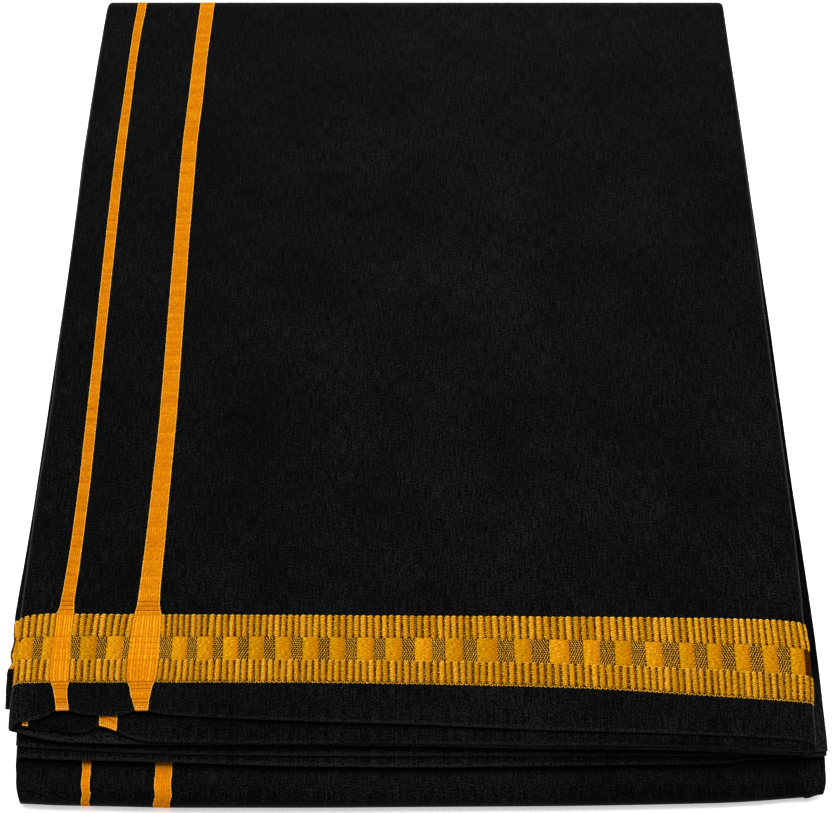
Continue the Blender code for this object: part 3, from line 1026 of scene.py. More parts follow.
    def lay(self, chart: Chart, pad: Pad, face: LoomFace, thread: Material, name: str) -> Object:
        """Lay a chart's pads on a face and turn the result into a plain mesh.

        Args:
            chart: where the pads lie.
            pad: their shape.
            face: the cloth face that carries them.
            thread: their material.
            name: the piece's name.

        Returns:
            The finished piece.
        """
        u, v, width, length, turn, tone, rise = np.array(chart).T
        points = bpy.data.meshes.new(name + "_points")
        points.from_pydata(np.stack((u, v, np.zeros_like(u)), -1).tolist(), [], [])
        for key, kind, value, values in (
                ("size", "FLOAT_VECTOR", "vector", np.stack((width, length, rise), -1)),
                ("turn", "FLOAT", "value", turn), ("tone", "FLOAT", "value", tone)):
            layer = points.attributes.new(key, kind, "POINT")
            layer.data.foreach_set(value, values.astype(np.float32).reshape(-1))
        carrier = linked(name + "_points", points)
        modifier = carrier.modifiers.new("pads", "NODES")
        modifier.node_group = self.tree
        sizes = {key.replace("_", " ").title(): value for key, value in vars(pad).items()}
        for key, value in {**sizes, "Cloth Face": face.piece, "Thread": thread}.items():
            modifier[self.identifiers[key]] = value
        bpy.context.view_layer.update()
        graph = bpy.context.evaluated_depsgraph_get()
        mesh = bpy.data.meshes.new_from_object(carrier.evaluated_get(graph), depsgraph=graph)
        carrier.modifiers.clear()
        bpy.data.objects.remove(carrier, do_unlink=True)
        mesh.name = name
        return linked(name, mesh)


def join_pieces(name: str, pieces: Sequence[Object]) -> Object:
    """Join several pieces into one.

    Args:
        name: the joined piece's name.
        pieces: the pieces.

    Returns:
        The joined piece.
    """
    with bpy.context.temp_override(active_object=pieces[0], selected_objects=list(pieces),
                                   selected_editable_objects=list(pieces)):
        bpy.ops.object.join()
    pieces[0].name = pieces[0].data.name = name
    return pieces[0]


@dataclass
class FoldedPanel:
    """The outer ply of a panel: a margin under its left side, the fold, the top, and the right hook."""

    shape: StackShape
    loom: Loom
    layer: Layer
    top: float
    depth: float
    edge: str
    margin_x: float = -85.0 * MM
    ply: float = 0.62 * MM
    hook_turn: float = math.radians(35)
    wraps_far_end: bool = True
    straight_y: float = -152.0 * MM
    # The small arches at the stripes' ends, in millimetres: rows of (x, width, height).
    arches: tuple[tuple[float, float, float], ...] = (
        (-136.8, 5.2, 0.75), (-105.6, 6.4, 0.85), (-122, 8.0, -0.35))
    fold_steps: int = 12
    bend_steps: int = 18
    outer: Array = field(init=False)
    inner: Array = field(init=False)
    woven: Array = field(init=False)

    def columns(self) -> list[tuple[float, float, float, float, float]]:
        """The section as (u, x, depth, normal x, normal depth), from the margin to the hook."""
        half, radius = self.shape.half_width, self.depth / 2
        left, right = -half + radius, half - radius
        span = right - left
        columns = [(-(math.pi * radius + x - left), x, self.depth, 0.0, 1.0)
                   for x in np.linspace(self.margin_x, left, 26)[:-1]]
        for angle in np.linspace(-math.pi / 2, math.pi / 2, self.fold_steps + 1)[:-1]:
            out, down = -math.cos(angle), -math.sin(angle)
            u = (angle - math.pi / 2) * radius
            columns.append((u, left + radius * out, radius + radius * down, out, down))
        columns += [(u, left + u, 0.0, 0.0, -1.0)
                    for u in stations(self.loom.marks(span), (9, 4, 18, 5, 12, 54, 10))]
        for angle in np.linspace(0, math.pi / 2 + self.hook_turn, self.fold_steps)[1:]:
            out, down = math.sin(angle), -math.cos(angle)
            columns.append((span + angle * radius, right + radius * out, radius + radius * down, out, down))
        return columns

    def rows(self) -> list[Pair]:
        """The (v, turn) of each row, from the cut end."""
        near, far = self.loom.border
        flat_end = far + self.shape.far_bend_y - self.straight_y
        marks = (0.0, 4 * MM, near, far, far + 38 * MM, flat_end)
        rows = [(v, 0.0) for v in stations(marks, (6, 8, 18, 14, 70))]
        if self.wraps_far_end:
            rows += [(flat_end + turn * self.shape.height / 2, turn)
                     for turn in np.linspace(0, math.pi, self.bend_steps + 1)[1:]]
        return rows

    def along(self, v: float, x: Array, edge_y: Array) -> Array:
        """The y of a woven v.

        Args:
            v: the place along the cloth.
            x: where it is across the stack.
            edge_y: the y of the cut end there.

        Returns:
            The y.
        """
        near, far = self.loom.border
        low, high = (curve_through(x, edge) for edge in (self.loom.border_near, self.loom.border_far))
        if v <= near:
            return edge_y + (low - edge_y) * v / near
        if v <= far:
            return low + (high - low) * (v - near) / (far - near)
        ease = 1 - soft_step(v, far, far + 42 * MM)
        return self.straight_y + v - far + (high - self.straight_y) * ease

    def across(self, u: Array, even_x: Array, y: Array) -> Array:
        """The x of each column.

        Args:
            u: the columns' woven places.
            even_x: their x in the even stack.
            y: where along the stack.

        Returns:
            The x.
        """
        half, loom = self.shape.half_width, self.loom
        span = 2 * (half - self.depth / 2)
        left, right = self.shape.reach(self.layer, y)
        calm = curve_through(y, loom.calm_right) if self.layer is Layer.TOP else right
        anchors = np.array(loom.marks(span))
        x = np.empty_like(even_x)
        for k, (near, far) in enumerate(zip(half - left, calm - half)):
            if u[k] <= 0:
                x[k] = even_x[k] + near
            elif u[k] >= span:
                x[k] = even_x[k] + right[k] - half
            else:
                drifts = np.array([np.interp(y[k], loom.drift[:, 0], side) for side in loom.drift.T[1:]])
                base = near * (1 - u[k] / span) + far * (u[k] / span)
                held = near * (1 - anchors[1:5] / span) + far * (anchors[1:5] / span)
                offsets = np.array([0.0, *(drifts - held), 0.0, 0.0, right[k] - calm[k]])
                x[k] = even_x[k] + base + np.interp(u[k], anchors, offsets)
        return x

    def lift(self, x: Array, y: Array, edge_y: Array) -> Array:
        """How far the top stands off its even height.

        Args:
            x: positions across the stack.
            y: positions along the stack.
            edge_y: the y of the cut end.

        Returns:
            The lift of its creases, and of the small arches at the stripes' ends.
        """
        rise = sum(crease.rise(x, y) for crease in self.shape.creases)
        near = 1 - soft_step(y - edge_y, 0.0, 26 * MM)
        for middle, width, height in self.arches:
            rise = rise + near * height * MM * bell(x, middle * MM, width * MM)
        return rise

    def cut_end(self, x: Array, below: Array) -> Array:
        """The y of the cut end: the panel's own edge on top, and the margin's below the fold.

        Args:
            x: where to read it.
            below: how far each place is below the fold, from 0 to 1.

        Returns:
            The y of the cut end.
        """
        edge = self.shape.near_edge(self.edge, x)
        if self.layer is Layer.TOP:
            edge = edge * (1 - below) + self.shape.near_edge("margin", x) * below
        return edge + self.ply / 2

    def shape_grids(self) -> None:
        """Work out the outer and inner faces."""
        on_top = self.layer is Layer.TOP
        u, even_x, depth, out_x, out_depth = np.array(self.columns()).T
        below = soft_step(depth, self.depth * 0.35, self.depth * 0.65) * (even_x < 0)
        sink = self.shape.height - self.top
        outer, inner, woven = [], [], []
        for v, turn in self.rows():
            edge_y = self.cut_end(even_x, below)
            x = self.across(u, even_x, self.along(v, even_x, edge_y))
            if on_top:
                edge_y = self.cut_end(x, below)
            y = self.along(v, x, edge_y)
            raised = self.lift(x, y, edge_y) * (1 - below) if on_top and not turn else 0.0
            for grid, inset in ((outer, 0.0), (inner, self.ply)):
                along_y, z = self.shape.far_path(depth + sink - out_depth * inset, turn, y)
                even = np.stack((x - out_x * inset, np.broadcast_to(along_y, x.shape), z + raised), -1)
                grid.append(self.shape.sink(even))
            woven.append(np.stack((u, np.full_like(u, v)), -1))
        self.outer, self.inner, self.woven = np.array(outer), np.array(inner), np.array(woven)

    def build(self, name: str) -> tuple[Object, LoomFace]:
        """Make the panel's outer ply, with the stripes' dye and the border's ground between them.

        Args:
            name: what the names of the piece and of its face begin with.

        Returns:
            The piece, and its outer face for the pads.
        """
        self.shape_grids()
        u, v = np.moveaxis((self.woven[:-1, :-1] + self.woven[1:, 1:]) / 2, -1, 0)
        near, far = self.loom.border
        dye = np.where((v > near) & (v < far), Dye.GROUND.value, Dye.BLACK.value)
        for start, end in self.loom.stripes:
            dye[(u > start) & (u < end)] = Dye.ORANGE.value
        piece = SheetMesh(name + "_cloth", self.outer, self.inner, self.woven, dye).build()
        return piece, LoomFace(name + "_face", self.outer, self.woven)


@dataclass
class StripeWeave:
    """The upright cords of each stripe, in short rows, with a pale stitched line along both of its edges."""

    loom: Loom
    pads: PadTree
    face: LoomFace
    random: np.random.Generator
    light: float = 0.45
    row: float = 2.05 * MM
    overhang: float = 0.10 * MM
    cord_pitch: float = 0.88 * MM
    stitch: float = 0.98 * MM
    cord: Pad = Pad(0.22 * MM, cross_power=2.4, end_power=6.0, narrowing=0.15, narrow_power=4.0, columns=4,
                    sunk=0.04 * MM)
    edging: Pad = Pad(0.32 * MM, sunk=0.05 * MM)

    def _lanes(self, stripe: Pair, crowding: float = 1.0) -> list[Pair]:
        """The middle and the width of each of a stripe's cords, side by side."""
        left, width = stripe[0] - self.overhang, stripe[1] - stripe[0] + 2 * self.overhang
        count = max(2, round(width / self.cord_pitch * crowding))
        return [(left + (k + 0.5) * (width / count), width / count) for k in range(count)]

    def cords(self, stripe: Pair, spans: Sequence[Pair]) -> Chart:
        """Cords along one stripe, in rows, with a groove between the first rows and between the last ones.

        Args:
            stripe: the stripe's left and right edges.
            spans: the (start, end) of each run along the cloth.

        Returns:
            The chart.
        """
        chart, random = [], self.random
        lanes = self._lanes(stripe)
        for start, end in spans:
            rows = max(1, round((end - start) / self.row))
            long = (end - start) / rows
            for row in range(rows):
                light = self.light + random.uniform(-0.3, 0.3)
                lined = row < 3 or row >= rows - 3
                for u, step in lanes:
                    chart.append((u, start + (row + 0.5 + random.normal(0, 0.03)) * long, step * 0.95,
                                  long * (0.86 if lined else 0.97), random.normal(0, 0.02),
                                  light + random.normal(0, 0.14), random.uniform(0.7, 1.2)))
                    if lined:
                        chart.append((u, start + (row + 1) * long, step * 0.98, 0.55 * MM, 0.0, -1.2, 0.85))
        return chart

    def crossing(self, stripe: Pair, name: str, thread: Material) -> Object:
        """Lay long upright cords where a stripe crosses the border, broken up in its middle row.

        Args:
            stripe: the stripe's left and right edges.
            name: the piece's name.
            thread: its material.

        Returns:
            The piece.
        """
        chart, random = [], self.random
        (near, far), (low, high) = self.loom.border, self.loom.border_rows
        middle = np.linspace(low, high, 5)
        for start, end, height in ((near, low, 1.7), (high, far, 1.7),
                                   *((a, b, 0.8) for a, b in zip(middle, middle[1:]))):
            light = random.uniform(0.5, 0.9)
            for k, (u, step) in enumerate(self._lanes(stripe, 1.15)):
                chart.append((u + random.normal(0, 0.03) * MM, (start + end) / 2, step * 0.88,
                              (end - start) * random.uniform(0.96, 1.02), random.normal(0, 0.006),
                              light + (0.22 if k % 2 else -0.16) + random.normal(0, 0.1),
                              height * random.uniform(0.8, 1.1)))
        return self.pads.lay(chart, self.cord, self.face, thread, name)

    def stitches(self, stripe: Pair, spans: Sequence[Pair]) -> Chart:
        """The pale lines along a stripe's edges, and the rows of knots across its ends.

        Args:
            stripe: the stripe's left and right edges.
            spans: the (start, end) of each run along the cloth.

        Returns:
            The chart.
        """
        chart, random = [], self.random
        left, right = stripe
        count = max(2, round((right - left) / self.cord_pitch))
        step = (right - left) / count
        for start, end in spans:
            number = max(1, round((end - start) / self.stitch))
            long = (end - start) / number
            for u in (left - 0.02 * MM, right + 0.02 * MM):
                chart += [(u + random.normal(0, 0.03) * MM, start + (k + 0.5) * (end - start) / number,
                           0.42 * MM, long * 0.98, random.normal(0, 0.06), random.uniform(0.0, 0.9),
                           random.uniform(0.7, 1.15)) for k in range(number)]
            for v in (start + 0.25 * MM, start + 1.75 * MM) if start < 1 * MM else ():
                chart += [(left + (k + 0.5) * step, v + random.normal(0, 0.05) * MM, step * 0.72, 0.62 * MM,
                           random.normal(0, 0.1), random.uniform(0.5, 1.2), random.uniform(0.9, 1.3))
                          for k in range(count)]
        return chart

    def lay(self, stripe: Pair, spans: Sequence[Pair], threads: tuple[Material, Material],
            name: str) -> list[Object]:
        """Lay a stripe's cords and its stitches on the face.

        Args:
            stripe: the stripe's left and right edges.
            spans: the (start, end) of each run along the cloth.
            threads: the materials of the cords and of the stitches.
            name: what the pieces' names begin with.

        Returns:
            The pieces.
        """
        return [self.pads.lay(self.cords(stripe, spans), self.cord, self.face, threads[0], name + "_cords"),
                self.pads.lay(self.stitches(stripe, spans), self.edging, self.face, threads[1],
                              name + "_stitches")]


@dataclass
class GoldBorder:
    """The border across the cloth: two rows of cords with a row of satin and twill cells between them."""

    loom: Loom
    random: np.random.Generator
    end: float
    start: float = -8.6 * MM
    cord: Pad = Pad(0.55 * MM, cross_power=3.4, end_power=14.0, narrowing=0.50, narrow_power=16.0, columns=7,
                    rows=9, sunk=0.08 * MM)
    satin: Pad = Pad(0.36 * MM, cross_power=14.0, end_power=14.0, narrowing=0.02, narrow_power=2.0, columns=7,
                     rows=7)
    float_: Pad = Pad(0.26 * MM)
    rung: Pad = Pad(0.30 * MM, cross_power=4.0, end_power=2.0, narrowing=0.2, narrow_power=2.0, columns=4,
                    rows=3, sunk=0.02 * MM)
    stitch: Pad = Pad(0.36 * MM, end_power=4.0, narrowing=0.5, narrow_power=4.0)
    rung_pitch: float = 0.88 * MM
    stitch_pitch: float = 0.98 * MM
    stitch_slant: float = math.radians(48)
    float_slant: float = math.radians(40)

    # The pitch of the cords, by u: rows of (u, pitch).
    cord_pitch: Array = table(
        (-8, 2.8), (13, 2.8), (18, 3.0), (45, 3.0), (52, 2.72), (68, 2.76), (76, 2.78), (86, 2.58),
        (97, 2.60), (118, 2.68), (141, 2.80), (154, 2.84), (178, 2.72), (193, 2.90), (205, 3.02),
        (235, 2.98), (250, 2.80), (262, 2.74), (280, 2.62), (310, 2.54), (320, 2.50))

    # The middle row from the left fold, in runs between the stripes: (twill, satin) widths.
    cells: tuple[tuple[float, tuple[Pair, ...]], ...] = (
        (-9.0, ((4.8, 9.0), (4.0, 4.55))),
        (18.55, ((4.15, 7.6), (4.5, 7.6), (2.75, 0.0))),
        (52.55, (
            (5.8, 6.6), (4.8, 6.7), (4.2, 5.9), (4.3, 6.2), (4.4, 6.3), (4.7, 6.4), (4.4, 6.2), (4.8, 6.5),
            (4.9, 6.6), (5.2, 6.7), (5.5, 6.9), (5.8, 8.1), (6.9, 6.6), (7.4, 7.8), (5.8, 6.5), (6.0, 6.7),
            (5.6, 6.7), (6.8, 6.0), (5.1, 5.9), (5.4, 5.9), (5.2, 5.6), (4.9, 5.5))),
    )

    def spans(self) -> list[Pair]:
        """The runs of u that the border fills, between the stripes."""
        (left, right), (other_left, other_right) = self.loom.stripes
        return [(self.start, left), (right, other_left), (other_right, self.end)]

    def pitch_at(self, u: float) -> float:
        """The cords' pitch at a u."""
        return float(np.interp(u, *self.cord_pitch.T))

    def cord_places(self, offset: float) -> list[Pair]:
        """Where the cords of one row stand.

        Args:
            offset: how far the first cord stands off a run's start, in pitches.

        Returns:
            The (u, pitch) of each cord.
        """
        cords = []
        for start, stop in self.spans():
            pitch = self.pitch_at((start + stop) / 2)
            u = start + offset * pitch
            while u < stop - 0.25 * pitch:
                pitch = self.pitch_at(u)
                cords.append((u, pitch))
                u += pitch
        return cords

    def cord_charts(self) -> tuple[Chart, Chart]:
        """The two rows of cords, and the cross threads that show as dots between them.

        Returns:
            The charts of the cords and of the dots.
        """
        (near, far), (low, high), random = self.loom.border, self.loom.border_rows, self.random
        cords, rungs = [], []
        for row_start, row_end, offset in ((near + 0.45 * MM, low + 0.2 * MM, 0.5),
                                           (high - 0.2 * MM, far + 0.3 * MM, 0.42)):
            for u, pitch in self.cord_places(offset):
                cords.append((u + random.normal(0, 0.05) * MM, (row_start + row_end) / 2,
                              pitch * random.uniform(0.78, 0.88),
                              (row_end - row_start) * random.uniform(0.985, 1.02), random.normal(0, 0.012),
                              random.uniform(0.15, 0.9), random.uniform(0.85, 1.12)))
                if any(start < u + pitch / 2 < stop - 0.3 * pitch for start, stop in self.spans()):
                    rungs += [(u + pitch / 2, v + random.normal(0, 0.07) * MM, pitch * 0.26, 0.34 * MM,
                               random.normal(0, 0.2), random.uniform(-1.9, 0.5), random.uniform(0.5, 1.0))
                              for v in np.arange(row_start + 0.6 * MM, row_end - 0.5 * MM, self.rung_pitch)]
        return cords, rungs

    def cell_charts(self) -> tuple[Chart, Chart]:
        """The satin cells and the twill floats of the middle row.

        Returns:
            The charts of the satin cells and of the floats.
        """
        (low, high), random = self.loom.border_rows, self.random
        satins, floats = [], []
        for start, run in self.cells:
            u = start * MM
            for twill, satin in run:
                floats += self._twill(u, u + twill * MM)
                u += (twill + satin) * MM
                if satin and u < self.end + 3 * MM:
                    satins.append((u - satin * MM / 2, (low + high) / 2,
                                   satin * MM * random.uniform(1.0, 1.05),
                                   high - low + random.uniform(0.3, 0.8) * MM, random.normal(0, 0.012),
                                   random.uniform(0.2, 0.75), random.uniform(0.85, 1.1)))
        return satins, floats

    def _twill(self, left: float, right: float) -> Chart:
        """Fill one cell with short slanting floats whose slant turns halfway, as in a broken twill.

        Args:
            left: the cell's left edge.
            right: its right edge.

        Returns:
            The floats.
        """
        (low, high), random = self.loom.border_rows, self.random
        columns = max(3, round((right - left) / (1.00 * MM)))
        rows = max(3, round((high - low) / (0.95 * MM)))
        turn_row = int(random.integers(rows // 3, rows))
        chart = []
        for i in range(rows):
            way = 1 if i < turn_row else -1
            shift = (0.5 * way * i) % 1.0 - 0.5
            v = low + (i + 0.5) * (high - low) / rows
            for j in range(columns):
                u = left + (j + 0.5 + shift * 0.9) * (right - left) / columns
                chart.append((u + random.normal(0, 0.05) * MM, v, 0.40 * MM, 1.12 * MM,
                              -way * self.float_slant + random.normal(0, 0.28),
                              random.uniform(0.0, 1.0), random.uniform(0.6, 1.1)))
        return chart

    def stitch_chart(self) -> Chart:
        """The zigzag of pale thread along the border's near edge.

        Returns:
            The chart.
        """
        pitch, random = self.stitch_pitch, self.random
        v = self.loom.border[0] + 0.10 * MM
        chart = []
        for start, stop in self.spans():
            for k in range(int((stop - start) / pitch)):
                slant = self.stitch_slant if k % 2 else -self.stitch_slant
                chart.append((start + (k + 0.5) * pitch, v, 0.44 * MM, 1.05 * MM,
                              slant + random.normal(0, 0.12), random.uniform(-0.2, 1.4),
                              random.uniform(0.7, 1.2)))
        return chart


@dataclass
class PlyStack:
    """Plies that lie on each other and share one solid, layered at its edges."""

    shape: StackShape
    layer: Layer
    name: str
    wall: Wall
    stations: int = 70
    stripes: tuple[Pair, ...] = ()
    stripes_end: float = -95 * MM
    stripe_step: float = 1.9 * MM

    def xs(self, lip: float) -> Array:
        """The even x of each column, with one on each edge of each stripe.

        Args:
            lip: the radius of the lips.

        Returns:
            The x of each column.
        """
        half = self.shape.half_width - lip
        marks = [-half, *(edge for stripe in self.stripes for edge in stripe), self.stripes_end]
        counts = [max(3, round((b - a) / self.stripe_step)) - 1 for a, b in zip(marks, marks[1:])]
        return np.array(stations([*marks, half], [*counts, self.stations - 34]))

    def grids(self, outer: list[Array], inner: list[Array]) -> tuple[Array, Array, Array]:
        """Place the rows.

        Args:
            outer: the outer rows, in the even stack.
            inner: the inner rows.

        Returns:
            The outer face, the inner face and the woven (u, v) of each place.
        """
        upper, lower = (self.shape.place(np.array(rows), self.layer) for rows in (outer, inner))
        steps = np.linalg.norm(np.diff(upper, axis=0), axis=-1).mean(axis=1)
        v = np.concatenate(([0.0], np.cumsum(steps)))
        u = np.array(outer)[..., 0] + self.shape.half_width
        return upper, lower, np.stack((u, np.repeat(v[:, None], u.shape[1], 1)), -1)

    def finish(self, outer: list[Array], inner: list[Array]) -> Object:
        """Place the rows and close the solid.

        Args:
            outer: the outer rows, in the even stack.
            inner: the inner rows.

        Returns:
            The piece.
        """
        upper, lower, woven = self.grids(outer, inner)
        dyes = striped(upper, outer[0][:, 0], self.stripes)
        return SheetMesh(self.name, upper, lower, woven, dyes, self.wall).build()

    def flat_layer(self, bottom: float, top: float, edge: str, far_y: float,
                   wave: Callable[[Array, Array], Array] | None = None) -> Object:
        """Plies that lie flat from their near edge to far_y.

        Args:
            bottom: the height of their underside.
            top: the height of their face.
            edge: the name of their near edge.
            far_y: where they end.
            wave: how far the near edge rises and falls, by x and by the distance from it.

        Returns:
            The piece.
        """
        lip = (top - bottom) / 2 / self.wall.plies
        xs = self.xs(lip)
        near = self.shape.near_edge(edge, xs, self.layer) + lip
        outer, inner = [], []
        for share in stations((0.0, 0.06, 1.0), (4, 33)):
            y = near + (far_y - lip - near) * share
            rise = wave(xs, y - near) if wave else 0.0
            for grid, z in ((outer, top), (inner, bottom)):
                grid.append(np.stack((xs, y, np.full_like(xs, z) + rise), -1))
        return self.finish(outer, inner)


def striped(grid: Array, xs: Array, stripes: Sequence[Pair]) -> Array:
    """The dye of each of a grid's cells: orange on the stripes and black elsewhere.

    Args:
        grid: the grid of places.
        xs: their even x.
        stripes: the stripes' edges.

    Returns:
        The dyes, by row and column.
    """
    middle = (xs[1:] + xs[:-1]) / 2
    orange = sum((middle > start) & (middle < end) for start, end in stripes)
    return np.full((grid.shape[0] - 1, len(middle)), Dye.BLACK.value) + Dye.ORANGE.value * orange


def lay_sheet(cloth: Object, pads: Sequence[Object] = (),
              layer: Layer | None = None) -> list[Object]:
    """Let a sheet and the pieces woven on it ride on the stack, and hide the solid that the sheet stands for.

    Args:
        cloth: the sheet.
        pads: the pieces woven on it.
        layer: the solid that it stands for.

    Returns:
        The sheet and the pieces on it.
    """
    for piece in (cloth, *pads):
        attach(piece, BODY)
    if layer:
        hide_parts(layer.value)
    return [cloth, *pads]


@dataclass
class Assembly:
    """What every part of the stack is built with."""

    shape: StackShape
    loom: Loom
    wardrobe: Wardrobe
    pads: PadTree

    def ribs(self, weave: StripeWeave, names: tuple[str, str], stripes: Sequence[Pair], span: Pair,
             cord: Material) -> Object:
        """Lay the ribs of both stripes on a face, and take the face away.

        Args:
            weave: what lays them.
            names: the joined piece's name, and what its parts' names begin with.
            stripes: the stripes' edges, as even x.
            span: where they start and end along the cloth.
            cord: the cords' material.

        Returns:
            The joined piece.
        """
        pieces = []
        for number, (left, right) in enumerate(stripes):
            stripe = (left + self.shape.half_width, right + self.shape.half_width)
            pieces += weave.lay(stripe, (span,), (cord, self.wardrobe.edging), f"{names[1]}_{number}")
        weave.face.remove()
        return join_pieces(names[0], pieces)


@dataclass
class BottomPanel(Assembly):
    """The lowest panel: along the floor, round the near bend and back, with its stripes."""

    ply: float = 0.62 * MM
    floor_y: float = -212 * MM
    back_y: float = -208 * MM
    # Where the left part is pulled to the right: it grows over the first two x and fades over the others.
    pulled_x: tuple[float, ...] = (-158 * MM, -142 * MM, -60 * MM, -20 * MM)
    # The stripes' edges on the bend, in the even stack.
    stripes: tuple[Pair, Pair] = ((-133.1 * MM, -130.1 * MM), (-104.1 * MM, -97.8 * MM))
    # The first and the last row that the stripes' ribs cover.
    ribbed_rows: tuple[int, int] = (43, 76)

    @staticmethod
    def bend_shift(turn: float, y: Array) -> Array:
        """How far the left part of the panel is pulled to the right, by the turn round its bend and y.

        Args:
            turn: how far round the bend.
            y: where along the stack.

        Returns:
            The shift.
        """
        shift = 0.35 * MM - 1.2 * MM * (1 - soft_step(turn, 1.8, 2.7))
        back = soft_step(y, -222 * MM, -212 * MM) if turn == math.pi else 0.0
        return (shift + 0.65 * MM * back) * (1 - soft_step(y, -212 * MM, -190 * MM))

    def rows(self) -> list[tuple[float, float | None, float | None]]:
        """Each row's turn round the bend, its y on the flats, and its share of the way back from the bend."""
        far_y = self.shape.far_bend_y
        floor_end = far_y - self.shape.gap - 1.2 * MM
        rows = [(0.0, y, None) for y in np.linspace(floor_end, self.floor_y, 40)]
        rows += [(turn, None, None) for turn in np.linspace(0, math.pi, 25)]
        rows += [(math.pi, None, (y + 222.5 * MM) / (14.5 * MM))
                 for y in np.linspace(-221.5 * MM, -212 * MM, 8)]
        return rows + [(math.pi, y, None) for y in np.linspace(self.back_y, far_y + 3 * MM, 46)]

    def build(self) -> list[Object]:
        """Build the panel and the ribs of its stripes.

        Returns:
            The pieces.
        """
        shape = self.shape
        radius = shape.height / 4
        half = shape.half_width - self.ply / 2
        left, start, end, right = self.pulled_x
        xs = np.array(stations((-half, *self.stripes[0], *self.stripes[1], half), (13, 4, 11, 5, 65)))
        pull = soft_step(xs, left, start) * (1 - soft_step(xs, end, right))
        bend_y = shape.near_edge("bottom", xs, Layer.BOTTOM) + radius
        outer, inner, woven = [], [], []
        v = 0.0
        for turn, station, share in self.rows():
            for grid, depth in ((outer, 0.0), (inner, self.ply)):
                reach = radius - depth
                if share is not None:
                    y = bend_y + share * (self.back_y - bend_y)
                elif station is not None:
                    y = np.full_like(xs, station)
                else:
                    y = bend_y - reach * math.sin(turn)
                z = np.full_like(y, radius - reach * math.cos(turn))
                if turn == math.pi:
                    z = z - shape.return_sag(y)
                places = shape.place(np.stack((xs, y, z), -1), Layer.BOTTOM)
                places[:, 0] += pull * self.bend_shift(turn, y)
                grid.append(places)
            if len(outer) > 1:
                v += float(np.linalg.norm(outer[-1] - outer[-2], axis=-1).mean())
            woven.append(np.stack((xs + shape.half_width, np.full_like(xs, v)), -1))
        outer, inner, woven = np.array(outer), np.array(inner), np.array(woven)
        dye = striped(outer, xs, self.stripes)
        cloth = SheetMesh("bottom_panel_cloth", outer, inner, woven, dye).build()
        # The bottom panel wears the shaded copy of the black: painted shade.
        self.wardrobe.dress(cloth, self.wardrobe.lowest)
        face = LoomFace("bottom_face", outer, woven)
        weave = StripeWeave(self.loom, self.pads, face, np.random.default_rng(31))
        span = tuple(float(woven[row, 0, 1]) for row in self.ribbed_rows)
        # The ribs on the bend wear the lighter copy of the orange: painted light.
        ribs = self.ribs(weave, ("bottom_stripe_ribs", "bend"), self.stripes, span, self.wardrobe.bend)
        return lay_sheet(cloth, (ribs,), Layer.BOTTOM)


@dataclass
class Core(Assembly):
    """The hidden panels, as one solid with a lip for each ply at its sides."""

    highest: float = 3.6 * MM
    # Where the plies at the right bulge, spread down to the floor, draw back and tuck in.
    bulge_x: Pair = (149.2 * MM, 150.8 * MM)
    spread_x: Pair = (150.4 * MM, 152.0 * MM)
    drawn_x: Pair = (152.5 * MM, 157.0 * MM)
    tuck_x: Pair = (151.5 * MM, 157.6 * MM)
    bend_rows: int = 9
    flat_rows: int = 34
    wall: Wall = Wall(plies=11, groove=1.6, ragged=0.4 * MM, seed=12)

    def build(self) -> list[Object]:
        """Build the solid; beyond the bottom panel's right edge its plies spread down to the floor.

        Returns:
            The piece.
        """
        shape, middle = self.shape, self.shape.height / 4
        flat = middle - shape.solid_wall - shape.gap
        stack = PlyStack(shape, Layer.CORE, "core_cloth", self.wall, 60)
        lip = flat / self.wall.plies
        xs = np.unique(np.concatenate((stack.xs(lip), np.linspace(148.6 * MM, 157.6 * MM, 13))))
        radius = flat + 1.35 * MM * soft_step(xs, *self.bulge_x)
        spread = soft_step(xs, *self.spread_x)
        bend_y = (shape.near_edge("bottom", xs, Layer.CORE) + middle + shape.gap
                  - (0.9 * MM - 1.0 * MM * soft_step(xs, *self.drawn_x)) * spread)
        tuck = 2.4 * MM * soft_step(xs, *self.tuck_x)
        outer, inner = [], []
        for turn in np.linspace(math.pi / 30, math.pi / 2, self.bend_rows):
            y, rise = bend_y - radius * math.cos(turn), radius * math.sin(turn)
            face = middle + np.minimum(rise, self.highest - shape.return_sag(y))
            outer.append(np.stack((xs, y, face), -1))
            inner.append(np.stack((xs - tuck * math.sin(turn), y, middle - rise), -1))
        end = shape.far_bend_y - shape.fold_depth / 2 - lip
        for share in np.linspace(0, 1, self.flat_rows)[1:]:
            y = bend_y + (end - bend_y) * share
            face = middle + np.minimum(radius, self.highest) - shape.return_sag(y)
            pull = tuck * (1 - soft_step(y, -205 * MM, -190 * MM))
            outer.append(np.stack((xs, y, face), -1))
            inner.append(np.stack((xs - pull, y, middle - radius), -1))
        piece = stack.finish(outer, inner)
        piece.data.materials.append(self.wardrobe.black)
        return lay_sheet(piece, layer=Layer.CORE)


